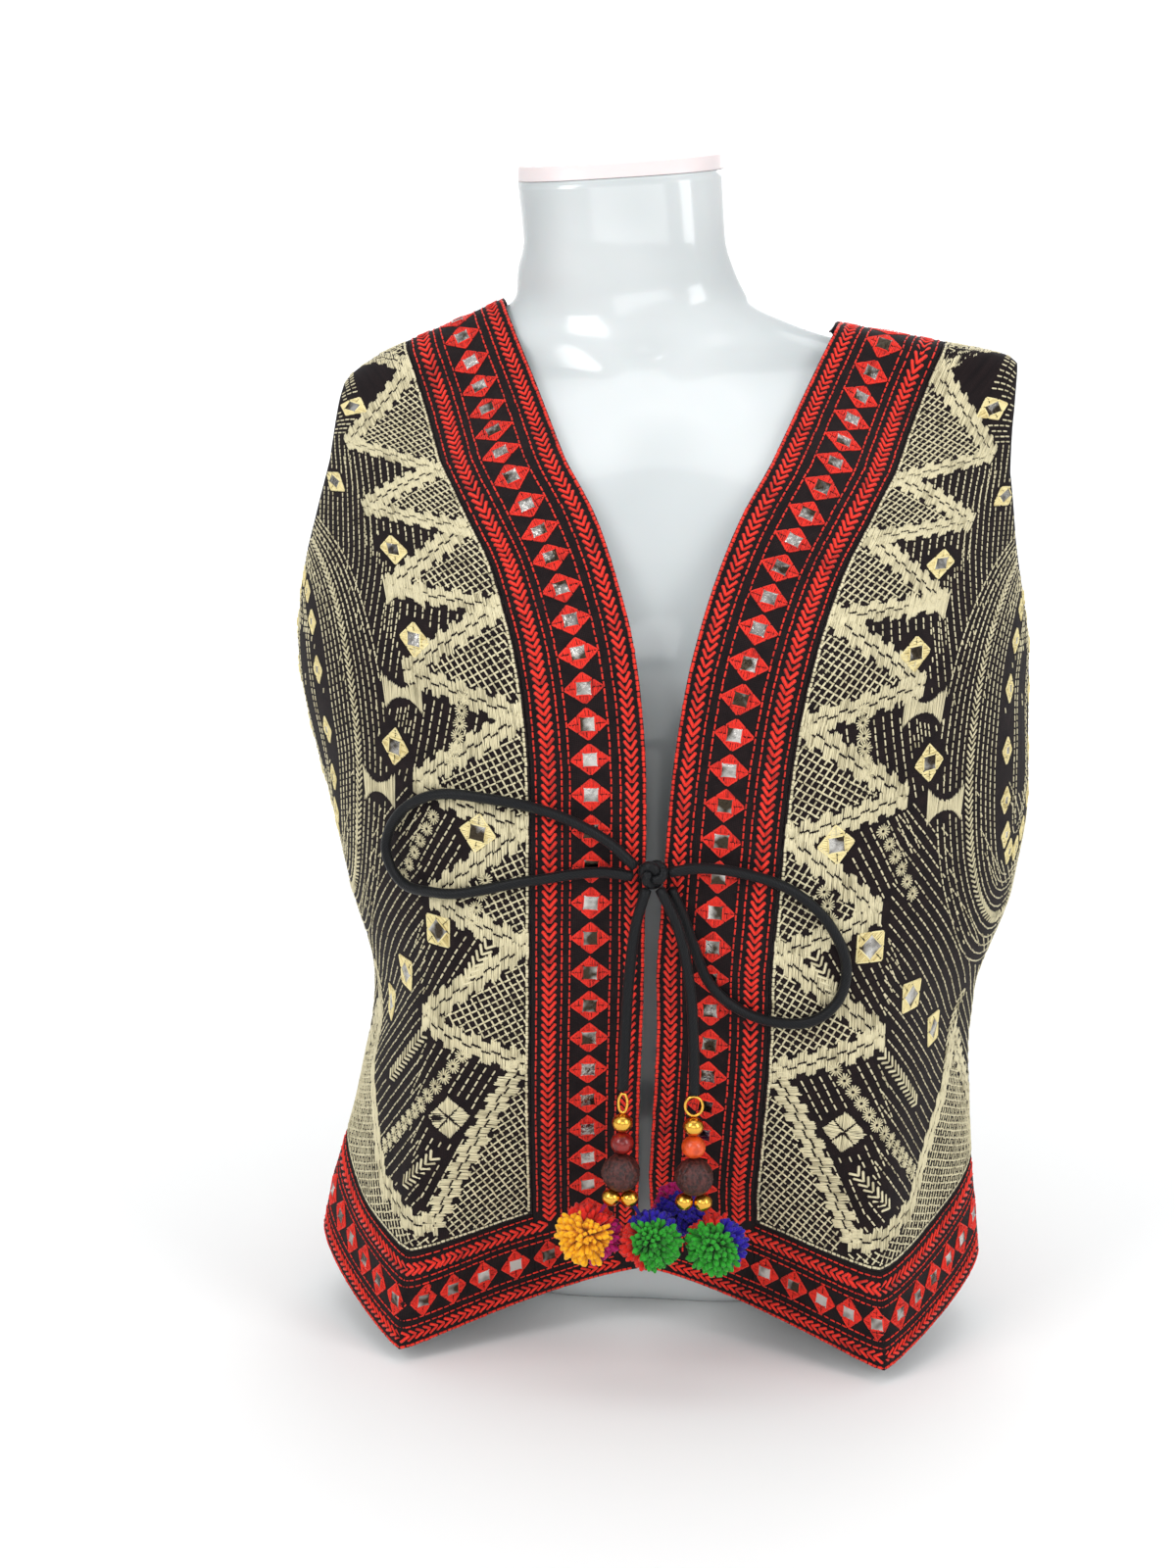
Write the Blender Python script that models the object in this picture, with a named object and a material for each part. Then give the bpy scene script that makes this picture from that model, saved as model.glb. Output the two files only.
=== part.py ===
"""Embroidered gilet on a limbless dress form, tied at the front with a beaded cord.

Metres, +Z up, the front faces -Y and +X is at the viewer's right. The floor is z = 0.
The cloth is a thin wall on a skin that runs through horizontal sections. A point of the skin
has a height z and a place a around the body: 0 at the middle of the front, 1 on the fold under
the bust, 2 on the side seam and the shoulder seam, 3 on the shoulder blade, 4 on the spine.
"""

import math
from collections import namedtuple

import bmesh
import bpy
import numpy as np
from mathutils import Matrix, Vector

MM = 0.001
LEFT, RIGHT = -1, 1
SIDES = {LEFT: "left", RIGHT: "right"}

WALL = 1.8 * MM            # outer cloth, its backing and the embroidery between them
SEAM_GAP = 0.4 * MM        # between pieces that are sewn together
FACE_GAP = 0.3 * MM        # between hard pieces that touch
BORDER = 57.0 * MM         # width of the embroidered bands along the front, neck and hem
CORD_R = 2.75 * MM         # round satin cord

# Horizontal sections of the cloth's outer face, in mm. shift moves the whole section sideways.
Section = namedtuple(
    "Section",
    "z shift front apex_x apex_y left right side_y back_x back_y spine crease",
)
CLOTH = [
    Section(0, 0, -66, 129, -131, 190, 190, -48, 118, 76, 90, 0.85),
    Section(60, 0, -90, 124, -134, 181, 184, -37, 112, 73, 84, 0.75),
    Section(120, 2, -115, 118, -139, 168, 176, -24, 106, 68, 77, 0.60),
    Section(190, 4, -138, 108, -146, 160, 171, -10, 102, 66, 71, 0.40),
    Section(245, 2, -149, 102, -150, 172, 190, -2, 108, 71, 76, 0.20),
    Section(310, 0, -155, 95, -154, 186, 198, 6, 118, 79, 84, 0.05),
    Section(375, 0, -157, 90, -155, 197, 194, 12, 126, 87, 92, 0.0),
    Section(425, 0, -138, 95, -126, 196, 190, 14, 128, 90, 97, 0.0),
    Section(470, 0, -111, 102, -87, 191, 190, 15, 125, 84, 95, 0.0),
    Section(500, 0, -84, 104, -51, 186, 190, 14, 117, 72, 87, 0.0),
    Section(512, 0, -74, 102, -40, 180, 189.5, 13, 112, 66, 82, 0.0),
    Section(526, 0, -62, 97, -31, 163, 188.5, 12, 104, 59, 75, 0.0),
    Section(533, 0, -57, 91, -28, 149, 182, 12, 98, 55, 71, 0.0),
    Section(541, 0, -51, 82, -25, 131, 141, 11, 86, 51, 67, 0.0),
    Section(550, 0, -45, 70, -23, 111, 86, 11, 72, 47, 61, 0.0),
    Section(560, 0, -39, 58, -20, 90, 50, 10, 60, 44, 56, 0.0),
]
# Horizontal sections of the dress form, from its flat base to the base of the neck, in mm.
FORM = [
    Section(0, 0, -34, 62, -30, 112, 112, 8, 70, 44, 54, 0.0),
    Section(8, 0, -44, 72, -40, 126, 126, 8, 80, 52, 63, 0.0),
    Section(22, 0, -53, 80, -48, 136, 136, 8, 88, 58, 69, 0.0),
    Section(45, 0, -58, 84, -54, 142, 142, 8, 93, 61, 72, 0.0),
    Section(80, 0, -66, 86, -60, 146, 146, 8, 96, 64, 76, 0.0),
    Section(130, 0, -71, 84, -65, 139, 141, 8, 92, 61, 71, 0.0),
    Section(190, 0, -73, 79, -70, 124, 126, 8, 85, 56, 63, 0.0),
    Section(245, 0, -84, 79, -90, 129, 134, 8, 92, 62, 68, 0.0),
    Section(310, 0, -108, 80, -128, 150, 156, 9, 106, 72, 77, 0.0),
    Section(345, 0, -123, 81, -146.6, 169, 169, 11, 114, 80, 85, 0.0),
    Section(375, 0, -130, 82, -151.65, 181, 178, 13, 119, 84, 89, 0.0),
    Section(425, 0, -119, 90, -120, 187, 182, 14, 123, 86, 92.5, 0.0),
    Section(470, 0, -95, 98, -82, 185, 184, 15, 120, 80, 90, 0.0),
    Section(498, 0, -71, 100, -47, 180.5, 185, 14, 111, 67, 82, 0.0),
    Section(511, -1, -59, 97, -35, 172, 185, 13, 104, 60, 77, 0.0),
    Section(523.2, -4, -49, 86, -26, 149.5, 184, 12, 88, 51, 69, 0.0),
    Section(529.2, -6, -45, 79, -23, 136.5, 167, 12, 80, 48, 65, 0.0),
    Section(537.2, -9, -42, 71, -21, 116, 120, 13, 72, 45, 61, 0.0),
    Section(549.2, -15, -37.5, 57, -19.5, 84.5, 82, 14, 60, 43, 57, 0.0),
    Section(560, -21, -36, 47.5, -20.5, 65.5, 65, 15, 51, 43, 55, 0.0),
    Section(575, -24.5, -37, 43, -25, 61, 58, 16, 45, 46, 58, 0.0),
    Section(592, -26, -38, 41, -28, 56.5, 54, 17, 43, 48, 61, 0.0),
    Section(625, -30, -38, 41, -28, 56, 55, 18, 42, 50, 63, 0.0),
]
FORM_AROUND = 36
NECK_TOP = 625 * MM
NECK_LEAN_X = math.tan(math.radians(4.5))    # the neck's top rises to the viewer's right
NECK_LEAN_Y = math.tan(math.radians(6.5))    # and drops to the front
CAP_HEIGHT = 8.2 * MM

# Where the fronts' inner edges lie across the body at each height, in mm.
Edge = namedtuple("Edge", "z left right")
FRONT_EDGE = [
    Edge(0, -4.5, 4.5),
    Edge(68, -4, 3),
    Edge(133, -4.2, 0.2),
    Edge(220, -3.1, 2.9),
    Edge(273, -3.3, 5.4),
    Edge(323, -4.2, 8.2),
    Edge(372, -8.6, 14),
    Edge(395, -13, 18.8),
    Edge(422, -21.6, 26.6),
    Edge(450, -33, 37.5),
    Edge(477, -50.2, 52.5),
    Edge(505, -69, 69),
    Edge(525, -79.5, 79.5),
    Edge(550, -89.5, 87),
    Edge(560, -94.5, 89),
]

# Cross rows of the panels. steps counts the grid rows since the row before, heights are in mm
# and the last two columns are the armhole's place around the body on the front and the back.
Row = namedtuple("Row", "steps edge fold side spine front_a back_a")
ROWS = [
    Row(0, 38, 8, 42, 36, 2.00, 2.00),
    Row(3, 92, 64, 98, 92, 2.00, 2.00),
    Row(5, 200, 198, 212, 208, 2.00, 2.00),
    Row(6, 372, 372, 370, 366, 2.00, 2.00),
    Row(2, 412, 409, 405, 397, 1.84, 2.12),
    Row(2, 447, 444, 440, 424, 1.73, 2.24),
    Row(2, 478, 475, 472, 450, 1.72, 2.30),
]
YOKE_STEPS = 5
HEM_ROWS = 3
BAND_COLUMNS, INNER_COLUMNS, OUTER_COLUMNS = 3, 4, 5
NECK_COLUMNS = 7

# The shoulder seam runs from the neck point to the tip, as heights in mm.
NECK_Z = {LEFT: 558.5, RIGHT: 549.5}
TIP_Z = {LEFT: 512, RIGHT: 530}
BACK_NECK_Z = 531          # lowest point of the back neckline
BACK_BAND_Z = 478          # lower edge of the back neck band on the spine


def wipe_scene():
    """Removes every object that the session starts with."""
    for obj in list(bpy.data.objects):
        bpy.data.objects.remove(obj, do_unlink=True)


def monotone(xs, ys):
    """Returns a smooth function through the points that never swings past them."""
    xs = np.asarray(xs, float)
    ys = np.asarray(ys, float)
    flat = ys.ndim == 1
    if flat:
        ys = ys[:, None]
    h = np.diff(xs)[:, None]
    d = np.diff(ys, axis=0) / h
    slope = np.zeros_like(ys)
    slope[0], slope[-1] = d[0], d[-1]
    same = d[:-1] * d[1:] > 0
    w1, w2 = 2 * h[1:] + h[:-1], h[1:] + 2 * h[:-1]
    safe0 = np.where(same, d[:-1], 1.0)
    safe1 = np.where(same, d[1:], 1.0)
    slope[1:-1] = np.where(same, (w1 + w2) / (w1 / safe0 + w2 / safe1), 0.0)

    def at(x):
        x = np.clip(np.asarray(x, float), xs[0], xs[-1])
        k = np.clip(np.searchsorted(xs, x, side="right") - 1, 0, len(xs) - 2)
        step = h[k, 0][..., None]
        t = ((x - xs[k])[..., None]) / step
        low, high = ys[k], ys[k + 1]
        out = (
            low * (1 + 2 * t) * (1 - t) ** 2
            + high * t * t * (3 - 2 * t)
            + step * (slope[k] * t * (1 - t) ** 2 - slope[k + 1] * t * t * (1 - t))
        )
        return out[..., 0] if flat else out

    return at


def pick(array, index):
    """The entries at an index of the axis before the last."""
    shape = index[..., None, None].repeat(array.shape[-1], -1)
    return np.take_along_axis(array, shape, axis=-2)[..., 0, :]


class Skin:
    """A closed surface through horizontal sections of five points a side."""

    def __init__(self, sections):
        rows = np.array([tuple(s) for s in sections], float)
        rows[:, :-1] *= MM
        self.columns = monotone(rows[:, 0], rows[:, 1:])

    def knots(self, side, z):
        """The section's shift, its five points and how sharp its fold is, at each height."""
        side = np.asarray(side, float)
        v = self.columns(z)
        shift, front, apex_x, apex_y, left, right, side_y, back_x, back_y, spine, crease = (
            np.moveaxis(v, -1, 0)
        )
        wide = np.where(side < 0, left, right)
        nil = np.zeros_like(front)
        xs = np.stack([nil, apex_x, wide, back_x, nil], -1)
        ys = np.stack([front, apex_y, side_y, back_y, spine], -1)
        return shift, np.stack([xs, ys], -1), crease

    def point(self, side, z, a):
        """The skin's points at heights z and places a around the body."""
        side, z, a = np.broadcast_arrays(
            np.asarray(side, float), np.asarray(z, float), np.asarray(a, float)
        )
        shift, p, crease = self.knots(side, z)
        chord = np.linalg.norm(np.diff(p, axis=-2), axis=-1)
        way = np.diff(p, axis=-2) / chord[..., None]
        turn = np.empty_like(p)
        turn[..., 0, :] = (1, 0)
        turn[..., 4, :] = (-1, 0)
        inner = way[..., :-1, :] * chord[..., 1:, None] + way[..., 1:, :] * chord[..., :-1, None]
        turn[..., 1:4, :] = inner / np.linalg.norm(inner, axis=-1)[..., None]
        ease = np.ones(p.shape[:-1])
        ease[..., 1] = 1 - crease
        ease[..., 2] = 1 - 0.8 * crease
        k = np.clip(np.floor(a).astype(int), 0, 3)
        t = (a - k)[..., None]
        p0, p1 = pick(p, k), pick(p, k + 1)
        long = pick(chord[..., None], k)
        m0 = pick(turn, k) * long * pick(ease[..., None], k)
        m1 = pick(turn, k + 1) * long * pick(ease[..., None], k + 1)
        xy = (
            p0 * (1 + 2 * t) * (1 - t) ** 2
            + p1 * t * t * (3 - 2 * t)
            + m0 * t * (1 - t) ** 2
            - m1 * t * t * (1 - t)
        )
        return np.stack([shift + side * xy[..., 0], xy[..., 1], z], -1)

    def normal(self, side, z, a):
        """Unit normals that point away from the body."""
        da, dz = 0.01, 0.5 * MM
        side, z, a = np.broadcast_arrays(
            np.asarray(side, float), np.asarray(z, float), np.asarray(a, float)
        )
        low, high = np.clip(a - da, 0, 4), np.clip(a + da, 0, 4)
        along = self.point(side, z, high) - self.point(side, z, low)
        up = self.point(side, z + dz, a) - self.point(side, z - dz, a)
        n = np.cross(along, up) * side[..., None]
        return n / np.linalg.norm(n, axis=-1)[..., None]

    def place(self, side, z, x, low, high):
        """The place a between low and high where the section has the width x."""
        z, x = np.asarray(z, float), np.asarray(x, float)
        low, high = np.full(z.shape, low), np.full(z.shape, high)
        rising = (self.point(side, z, high)[..., 0] - self.point(side, z, low)[..., 0]) * side > 0
        for _ in range(32):
            mid = (low + high) / 2
            more = ((self.point(side, z, mid)[..., 0] - x) * side < 0) == rising
            low, high = np.where(more, mid, low), np.where(more, high, mid)
        return (low + high) / 2


cloth_skin = Skin(CLOTH)
form_skin = Skin(FORM)


def reach(points):
    """Distance along a line of points, from its first."""
    return np.concatenate([[0], np.cumsum(np.linalg.norm(np.diff(points, axis=0), axis=1))])


def new_material(name, colour, roughness, metallic=0.0):
    """One Principled material."""
    made = bpy.data.materials.new(name)
    made.use_nodes = True
    shader = made.node_tree.nodes["Principled BSDF"]
    shader.inputs["Base Color"].default_value = (*colour, 1.0)
    shader.inputs["Roughness"].default_value = roughness
    shader.inputs["Metallic"].default_value = metallic
    return made


def add_object(name, mesh, colour, roughness=0.8, metallic=0.0, smooth=True):
    """Links one mesh with its own material to the scene."""
    obj = bpy.data.objects.new(name, mesh)
    bpy.context.scene.collection.objects.link(obj)
    mesh.materials.append(new_material(name + "_finish", colour, roughness, metallic))
    for face in mesh.polygons:
        face.use_smooth = smooth
    return obj


def mesh_from_bmesh(name, bm):
    """Turns the faces outward and writes a mesh."""
    bmesh.ops.recalc_face_normals(bm, faces=bm.faces)
    mesh = bpy.data.meshes.new(name)
    bm.to_mesh(mesh)
    bm.free()
    return mesh


def wall_from_grid(name, grid, normals, colour):
    """A closed cloth wall whose outer face is the grid of points."""
    rows, columns = grid.shape[:2]
    inner = grid - WALL * normals
    bm = bmesh.new()
    outside = [[bm.verts.new(p) for p in row] for row in grid]
    inside = [[bm.verts.new(p) for p in row] for row in inner]
    for i in range(rows - 1):
        for j in range(columns - 1):
            bm.faces.new([outside[i][j], outside[i][j + 1], outside[i + 1][j + 1], outside[i + 1][j]])
            bm.faces.new([inside[i][j], inside[i + 1][j], inside[i + 1][j + 1], inside[i][j + 1]])
    rim = [(0, j) for j in range(columns)]
    rim += [(i, columns - 1) for i in range(1, rows)]
    rim += [(rows - 1, j) for j in range(columns - 2, -1, -1)]
    rim += [(i, 0) for i in range(rows - 2, 0, -1)]
    for (i, j), (k, l) in zip(rim, rim[1:] + rim[:1]):
        bm.faces.new([outside[i][j], outside[k][l], inside[k][l], inside[i][j]])
    return add_object(name, mesh_from_bmesh(name, bm), colour, 0.85)


def parted(grid, first_row=False, last_row=False, first_column=False, last_column=False):
    """The grid with its named edges drawn in by half a seam's gap."""
    out = grid.copy()
    half = SEAM_GAP / 2

    def draw(edge, beyond):
        along = np.gradient(edge, axis=0)
        along /= np.linalg.norm(along, axis=-1)[..., None]
        way = beyond - edge
        way -= (way * along).sum(-1)[..., None] * along
        return edge + half * way / np.linalg.norm(way, axis=-1)[..., None]

    if first_row:
        out[0] = draw(grid[0], grid[1])
    if last_row:
        out[-1] = draw(grid[-1], grid[-2])
    if first_column:
        out[:, 0] = draw(out[:, 0], out[:, 1])
    if last_column:
        out[:, -1] = draw(out[:, -1], out[:, -2])
    return out


def row_values():
    """The rows' heights and armhole places, one line for each grid row below the yoke."""
    at = np.cumsum([r.steps for r in ROWS])
    values = np.array([tuple(r)[1:] for r in ROWS], float)
    values[:, :4] *= MM
    smooth = monotone(at, values)
    return smooth(np.arange(at[-1] + 1))


def edge_x(side, z):
    """Where the front's inner edge lies at height z."""
    rows = np.array([tuple(e) for e in FRONT_EDGE], float) * MM
    return monotone(rows[:, 0], rows[:, 1 if side == LEFT else 2])(z)


def seam_line(side, count=160):
    """Heights and points of the shoulder seam, from the neck point to the tip."""
    z = np.linspace(NECK_Z[side], TIP_Z[side], count) * MM
    return z, cloth_skin.point(side, z, np.full(count, 2.0))


def front_line(side, row, count=240):
    """Heights, places and points of a cross row of the front, from its edge to its side."""
    edge_z, fold_z, side_z, _, front_a, _ = row
    start = cloth_skin.place(side, edge_z, edge_x(side, edge_z), 0.0, 2.0)
    a = np.linspace(start, front_a, count)
    if start < 0.9:
        z = monotone([start, 1.0, front_a], [edge_z, fold_z, side_z])(a)
    else:
        z = edge_z + (side_z - edge_z) * (a - start) / (front_a - start)
    return z, a, cloth_skin.point(side, z, a)


def front_edge_points(side, count=400):
    """The front's inner edge from the hem to the neck point, as points."""
    rows = row_values()
    z = np.linspace(rows[0, 0], NECK_Z[side] * MM, count)
    return cloth_skin.point(side, z, cloth_skin.place(side, z, edge_x(side, z), 0.0, 2.0))


def column_reach(total, band, fold):
    """Distances of a row's columns from the edge: the band, up to the fold, and beyond it."""
    inner = np.clip((fold - band) / (total - band), 0.30, 0.62)
    fold_at = band + inner * (total - band)
    return np.concatenate([
        np.linspace(0, band, BAND_COLUMNS + 1)[:-1],
        np.linspace(band, fold_at, INNER_COLUMNS + 1)[:-1],
        np.linspace(fold_at, total, OUTER_COLUMNS + 1),
    ])


def front_grid(side):
    """Heights and places of the front panel's grid, hem to shoulder and edge to side."""
    edge = front_edge_points(side)
    heights, places = [], []
    for row in row_values():
        z, a, points = front_line(side, row)
        way = reach(points)
        far = np.linalg.norm(points[:, None] - edge[None], axis=2).min(1)
        band = way[np.argmax(far >= BORDER)]
        columns = column_reach(way[-1], band, np.interp(1.0, a, way))
        heights.append(np.interp(columns, way, z))
        places.append(np.interp(columns, way, a))
    seam_z, seam = seam_line(side)
    way = reach(seam)
    columns = column_reach(way[-1], BORDER, 0.0)
    top_z = np.interp(columns, way, seam_z)
    climb(side, heights, places, top_z, np.full(len(columns), 2.0), 0.0, 2.0)
    return np.array(heights), np.array(places), top_z


def climb(side, heights, places, top_z, top_a, low, high):
    """Adds the yoke's rows between the last row and the top, evenly spaced on the cloth."""
    base_z, base_a = heights[-1], places[-1]
    base_x = cloth_skin.point(side, base_z, base_a)[:, 0]
    top_x = cloth_skin.point(side, top_z, top_a)[:, 0]
    f = np.linspace(0, 1, 50)[:, None]
    z = base_z + (top_z - base_z) * f
    a = cloth_skin.place(side, z, base_x + (top_x - base_x) * f, low, high)
    a[0], a[-1] = base_a, top_a
    points = cloth_skin.point(side, z, a)
    even = np.linspace(0, 1, YOKE_STEPS + 1)[1:]
    climbed_z, climbed_a = [], []
    for k in range(len(base_z)):
        way = reach(points[:, k])
        climbed_z.append(np.interp(even * way[-1], way, z[:, k]))
        climbed_a.append(np.interp(even * way[-1], way, a[:, k]))
    heights.extend(np.array(climbed_z).T)
    places.extend(np.array(climbed_a).T)


def back_neck_points(side, low_z, end_z, count):
    """Heights and places of a neckline on the back, from the spine to the shoulder seam."""
    end_x = cloth_skin.point(side, np.array(end_z), np.array(2.0))[0]
    turn = np.linspace(0, math.pi / 2, 120)
    z = low_z + (end_z - low_z) * (1 - np.cos(turn)) ** 1.3
    a = cloth_skin.place(side, z, end_x * np.sin(turn), 2.0, 4.0)
    a[-1] = 2.0
    way = reach(cloth_skin.point(side, z, a))
    even = np.linspace(0, way[-1], count)
    return np.interp(even, way, z), np.interp(even, way, a)


def back_grid(side, seam_z):
    """Heights and places of half of the back, hem to shoulder and spine to side."""
    top_z, top_a = back_neck_points(side, BACK_BAND_Z * MM, seam_z[0], NECK_COLUMNS + 1)
    top_z = np.concatenate([top_z[:-1], seam_z])
    top_a = np.concatenate([top_a[:-1], np.full(len(seam_z), 2.0)])
    top = cloth_skin.point(side, top_z, top_a)
    share = reach(top)[: NECK_COLUMNS + 1] / reach(top)[-1]
    heights, places = [], []
    for row in row_values():
        _, _, side_z, spine_z, _, back_a = row
        a = np.linspace(4.0, back_a, 240)
        z = spine_z + (side_z - spine_z) * (4.0 - a) / (4.0 - back_a)
        way = reach(cloth_skin.point(side, z, a))
        columns = way[-1] * np.concatenate([
            share[:-1],
            np.linspace(share[-1], 1, len(seam_z)),
        ])
        heights.append(np.interp(columns, way, z))
        places.append(np.interp(columns, way, a))
    climb(side, heights, places, top_z, top_a, 2.0, 4.0)
    return np.array(heights), np.array(places)


RED_BAND = (0.42, 0.03, 0.025)
FIELD_CLOTH = (0.45, 0.39, 0.24)
BLACK_CORD = (0.008, 0.008, 0.010)


def build_front(side):
    """One front: the embroidered field, its front band and its hem band."""
    z, a, top_z = front_grid(side)
    grid = cloth_skin.point(side, z, a)
    normals = cloth_skin.normal(side, z, a)
    b = BAND_COLUMNS
    name = SIDES[side]
    band = parted(grid[:, : b + 1], last_column=True, last_row=True)
    wall_from_grid("front_band_" + name, band, normals[:, : b + 1], RED_BAND)
    hem = parted(grid[: HEM_ROWS + 1, b:], last_row=True, first_column=True, last_column=True)
    wall_from_grid("front_hem_band_" + name, hem, normals[: HEM_ROWS + 1, b:], RED_BAND)
    field = parted(grid[HEM_ROWS:, b:], True, True, True, True)
    wall_from_grid("front_" + name, field, normals[HEM_ROWS:, b:], FIELD_CLOTH)
    return top_z[b:]


def build_back(seams):
    """The back in one piece, with its hem band and its neck band."""
    halves = {}
    for side in SIDES:
        z, a = back_grid(side, seams[side])
        halves[side] = cloth_skin.point(side, z, a), cloth_skin.normal(side, z, a)
    grid, normals = (
        np.concatenate([halves[LEFT][k][:, ::-1], halves[RIGHT][k][:, 1:]], axis=1)
        for k in (0, 1)
    )
    hem = parted(grid[: HEM_ROWS + 1], last_row=True, first_column=True, last_column=True)
    wall_from_grid("back_hem_band", hem, normals[: HEM_ROWS + 1], RED_BAND)
    field = parted(grid[HEM_ROWS:], True, True, True, True)
    wall_from_grid("back", field, normals[HEM_ROWS:], FIELD_CLOTH)


def build_back_neck_band(seams):
    """The band around the back of the neck, from one shoulder seam to the other."""
    count = NECK_COLUMNS + 1
    halves = {}
    for side in SIDES:
        neck_z, neck_a = back_neck_points(side, BACK_NECK_Z * MM, NECK_Z[side] * MM, count)
        low_z, low_a = back_neck_points(side, BACK_BAND_Z * MM, seams[side][0], count)
        neck_x = cloth_skin.point(side, neck_z, neck_a)[:, 0]
        low_x = cloth_skin.point(side, low_z, low_a)[:, 0]
        z, a = [], []
        for f in np.linspace(0, 1, BAND_COLUMNS + 1):
            row_z = low_z + (neck_z - low_z) * f
            row_x = low_x + (neck_x - low_x) * f
            z.append(row_z)
            a.append(cloth_skin.place(side, row_z, row_x, 2.0, 4.0))
        z, a = np.array(z), np.array(a)
        a[:, -1] = 2.0
        seam_z, seam = seam_line(side)
        z[:, -1] = np.interp(np.linspace(BORDER, 0, BAND_COLUMNS + 1), reach(seam), seam_z)
        halves[side] = cloth_skin.point(side, z, a), cloth_skin.normal(side, z, a)
    grid, normals = (
        np.concatenate([halves[LEFT][k][:, ::-1], halves[RIGHT][k][:, 1:]], axis=1)
        for k in (0, 1)
    )
    grid = parted(grid, first_row=True, first_column=True, last_column=True)
    wall_from_grid("back_neck_band", grid, normals, RED_BAND)


def neck_tilt(points, z, start=560 * MM):
    """Leans the rings of the neck by degrees up to its sloping top."""
    grow = np.clip((z - start) / (NECK_TOP - start), 0, 1)
    middle = points[:, :2].mean(0)
    lift = NECK_LEAN_X * (points[:, 0] - middle[0]) + NECK_LEAN_Y * (points[:, 1] - middle[1])
    points[:, 2] += grow * lift
    return points


def form_ring(z, inset=0.0):
    """One ring of the dress form, from the spine round by the viewer's left."""
    half = FORM_AROUND // 2
    dense = np.linspace(0, 4, 400)
    rings = []
    for side in (LEFT, RIGHT):
        line = form_skin.point(side, np.full(400, z), dense)
        way = reach(line)
        a = np.interp(np.linspace(0, way[-1], half + 1), way, dense)
        rings.append(form_skin.point(side, np.full(half + 1, z), a))
    ring = np.concatenate([rings[0][::-1][:-1], rings[1][:-1]])
    if inset:
        middle = ring[:, :2].mean(0)
        out = ring[:, :2] - middle
        ring[:, :2] -= inset * out / np.linalg.norm(out, axis=1)[:, None]
    return ring


def body_from_rings(name, rings, colour, roughness):
    """A closed body with a flat end below the first ring and above the last."""
    bm = bmesh.new()
    loops = [[bm.verts.new(p) for p in ring] for ring in rings]
    count = len(rings[0])
    for low, high in zip(loops, loops[1:]):
        for k in range(count):
            m = (k + 1) % count
            bm.faces.new([low[k], low[m], high[m], high[k]])
    bm.faces.new(loops[0][::-1])
    bm.faces.new(loops[-1])
    return add_object(name, mesh_from_bmesh(name, bm), colour, roughness)


def build_form():
    """The plastic form as one smooth solid, and the band that caps its neck."""
    heights = np.concatenate([
        [0, 4, 12, 24, 45],
        np.arange(75, 300, 32),
        np.arange(300, 490, 17),
        np.arange(496, 562, 8),
        [568, 578, 594, 625],
    ]) * MM
    rings = [neck_tilt(form_ring(z), z) for z in heights]
    body_from_rings("dress_form", rings, (0.66, 0.68, 0.67), 0.18)
    top = rings[-1]
    low = top + (0, 0, FACE_GAP)
    high = top + (0, 0, CAP_HEIGHT)
    body_from_rings("neck_cap", [low, high], (0.80, 0.74, 0.73), 0.35)


def smooth_route(points, spacing):
    """A smooth line through the route's points, read off at an even spacing."""
    route = np.asarray(points, float)
    way = reach(route)
    turn = np.gradient(route, way, axis=0)
    turn /= np.linalg.norm(turn, axis=1)[:, None]
    fine = []
    for k in range(len(route) - 1):
        long = way[k + 1] - way[k]
        t = np.linspace(0, 1, 30)[:, None]
        fine.append(
            route[k] * (1 + 2 * t) * (1 - t) ** 2
            + route[k + 1] * t * t * (3 - 2 * t)
            + turn[k] * long * t * (1 - t) ** 2
            - turn[k + 1] * long * t * t * (1 - t)
        )
    fine = np.concatenate(fine)
    way = reach(fine)
    even = np.linspace(0, way[-1], max(3, round(way[-1] / spacing) + 1))
    return np.stack([np.interp(even, way, fine[:, k]) for k in range(3)], 1)


def add_cord(name, points, radius=CORD_R):
    """A round cord with filled ends along a line of points."""
    curve = bpy.data.curves.new(name, "CURVE")
    curve.dimensions = "3D"
    curve.bevel_depth = radius
    curve.bevel_resolution = 2
    curve.use_fill_caps = True
    spline = curve.splines.new("POLY")
    spline.points.add(len(points) - 1)
    for target, p in zip(spline.points, points):
        target.co = (*p, 1.0)
    obj = bpy.data.objects.new(name, curve)
    bpy.context.scene.collection.objects.link(obj)
    curve.materials.append(new_material(name + "_finish", BLACK_CORD, 0.35))
    return obj


# Route points of the tie in the front view, in mm, and how far the cord's middle lies in front
# of the cloth under it.
Way = namedtuple("Way", "x z off")
KNOT = Way(0.5, 280, 9.5)
LOOP_LEFT = [
    Way(-8.8, 283, 8.0),
    Way(-20, 293, 6.5),
    Way(-42, 305, 4.0),
    Way(-80, 314, 3.8),
    Way(-111, 312, 4.5),
    Way(-126, 299, 6.5),
    Way(-130, 280, 8.0),
    Way(-124, 267, 6.5),
    Way(-106, 263.5, 4.5),
    Way(-60, 273.5, 3.8),
    Way(-22, 279, 6.0),
    Way(-10.2, 278.3, 8.5),
]
LOOP_RIGHT = [
    Way(9.3, 281, 9.0),
    Way(20, 283, 8.0),
    Way(44, 281, 4.5),
    Way(72, 271, 3.8),
    Way(90, 252, 3.8),
    Way(97, 233, 4.2),
    Way(94, 216, 4.2),
    Way(83, 205, 3.8),
    Way(64, 203, 3.8),
    Way(45, 209, 3.8),
    Way(31, 221, 3.8),
    Way(22, 241, 3.8),
    Way(15, 260, 4.4),
    Way(9.8, 271.5, 6.5),
]
END_Y = -164               # the free ends hang plumb from the knot, in mm
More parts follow.
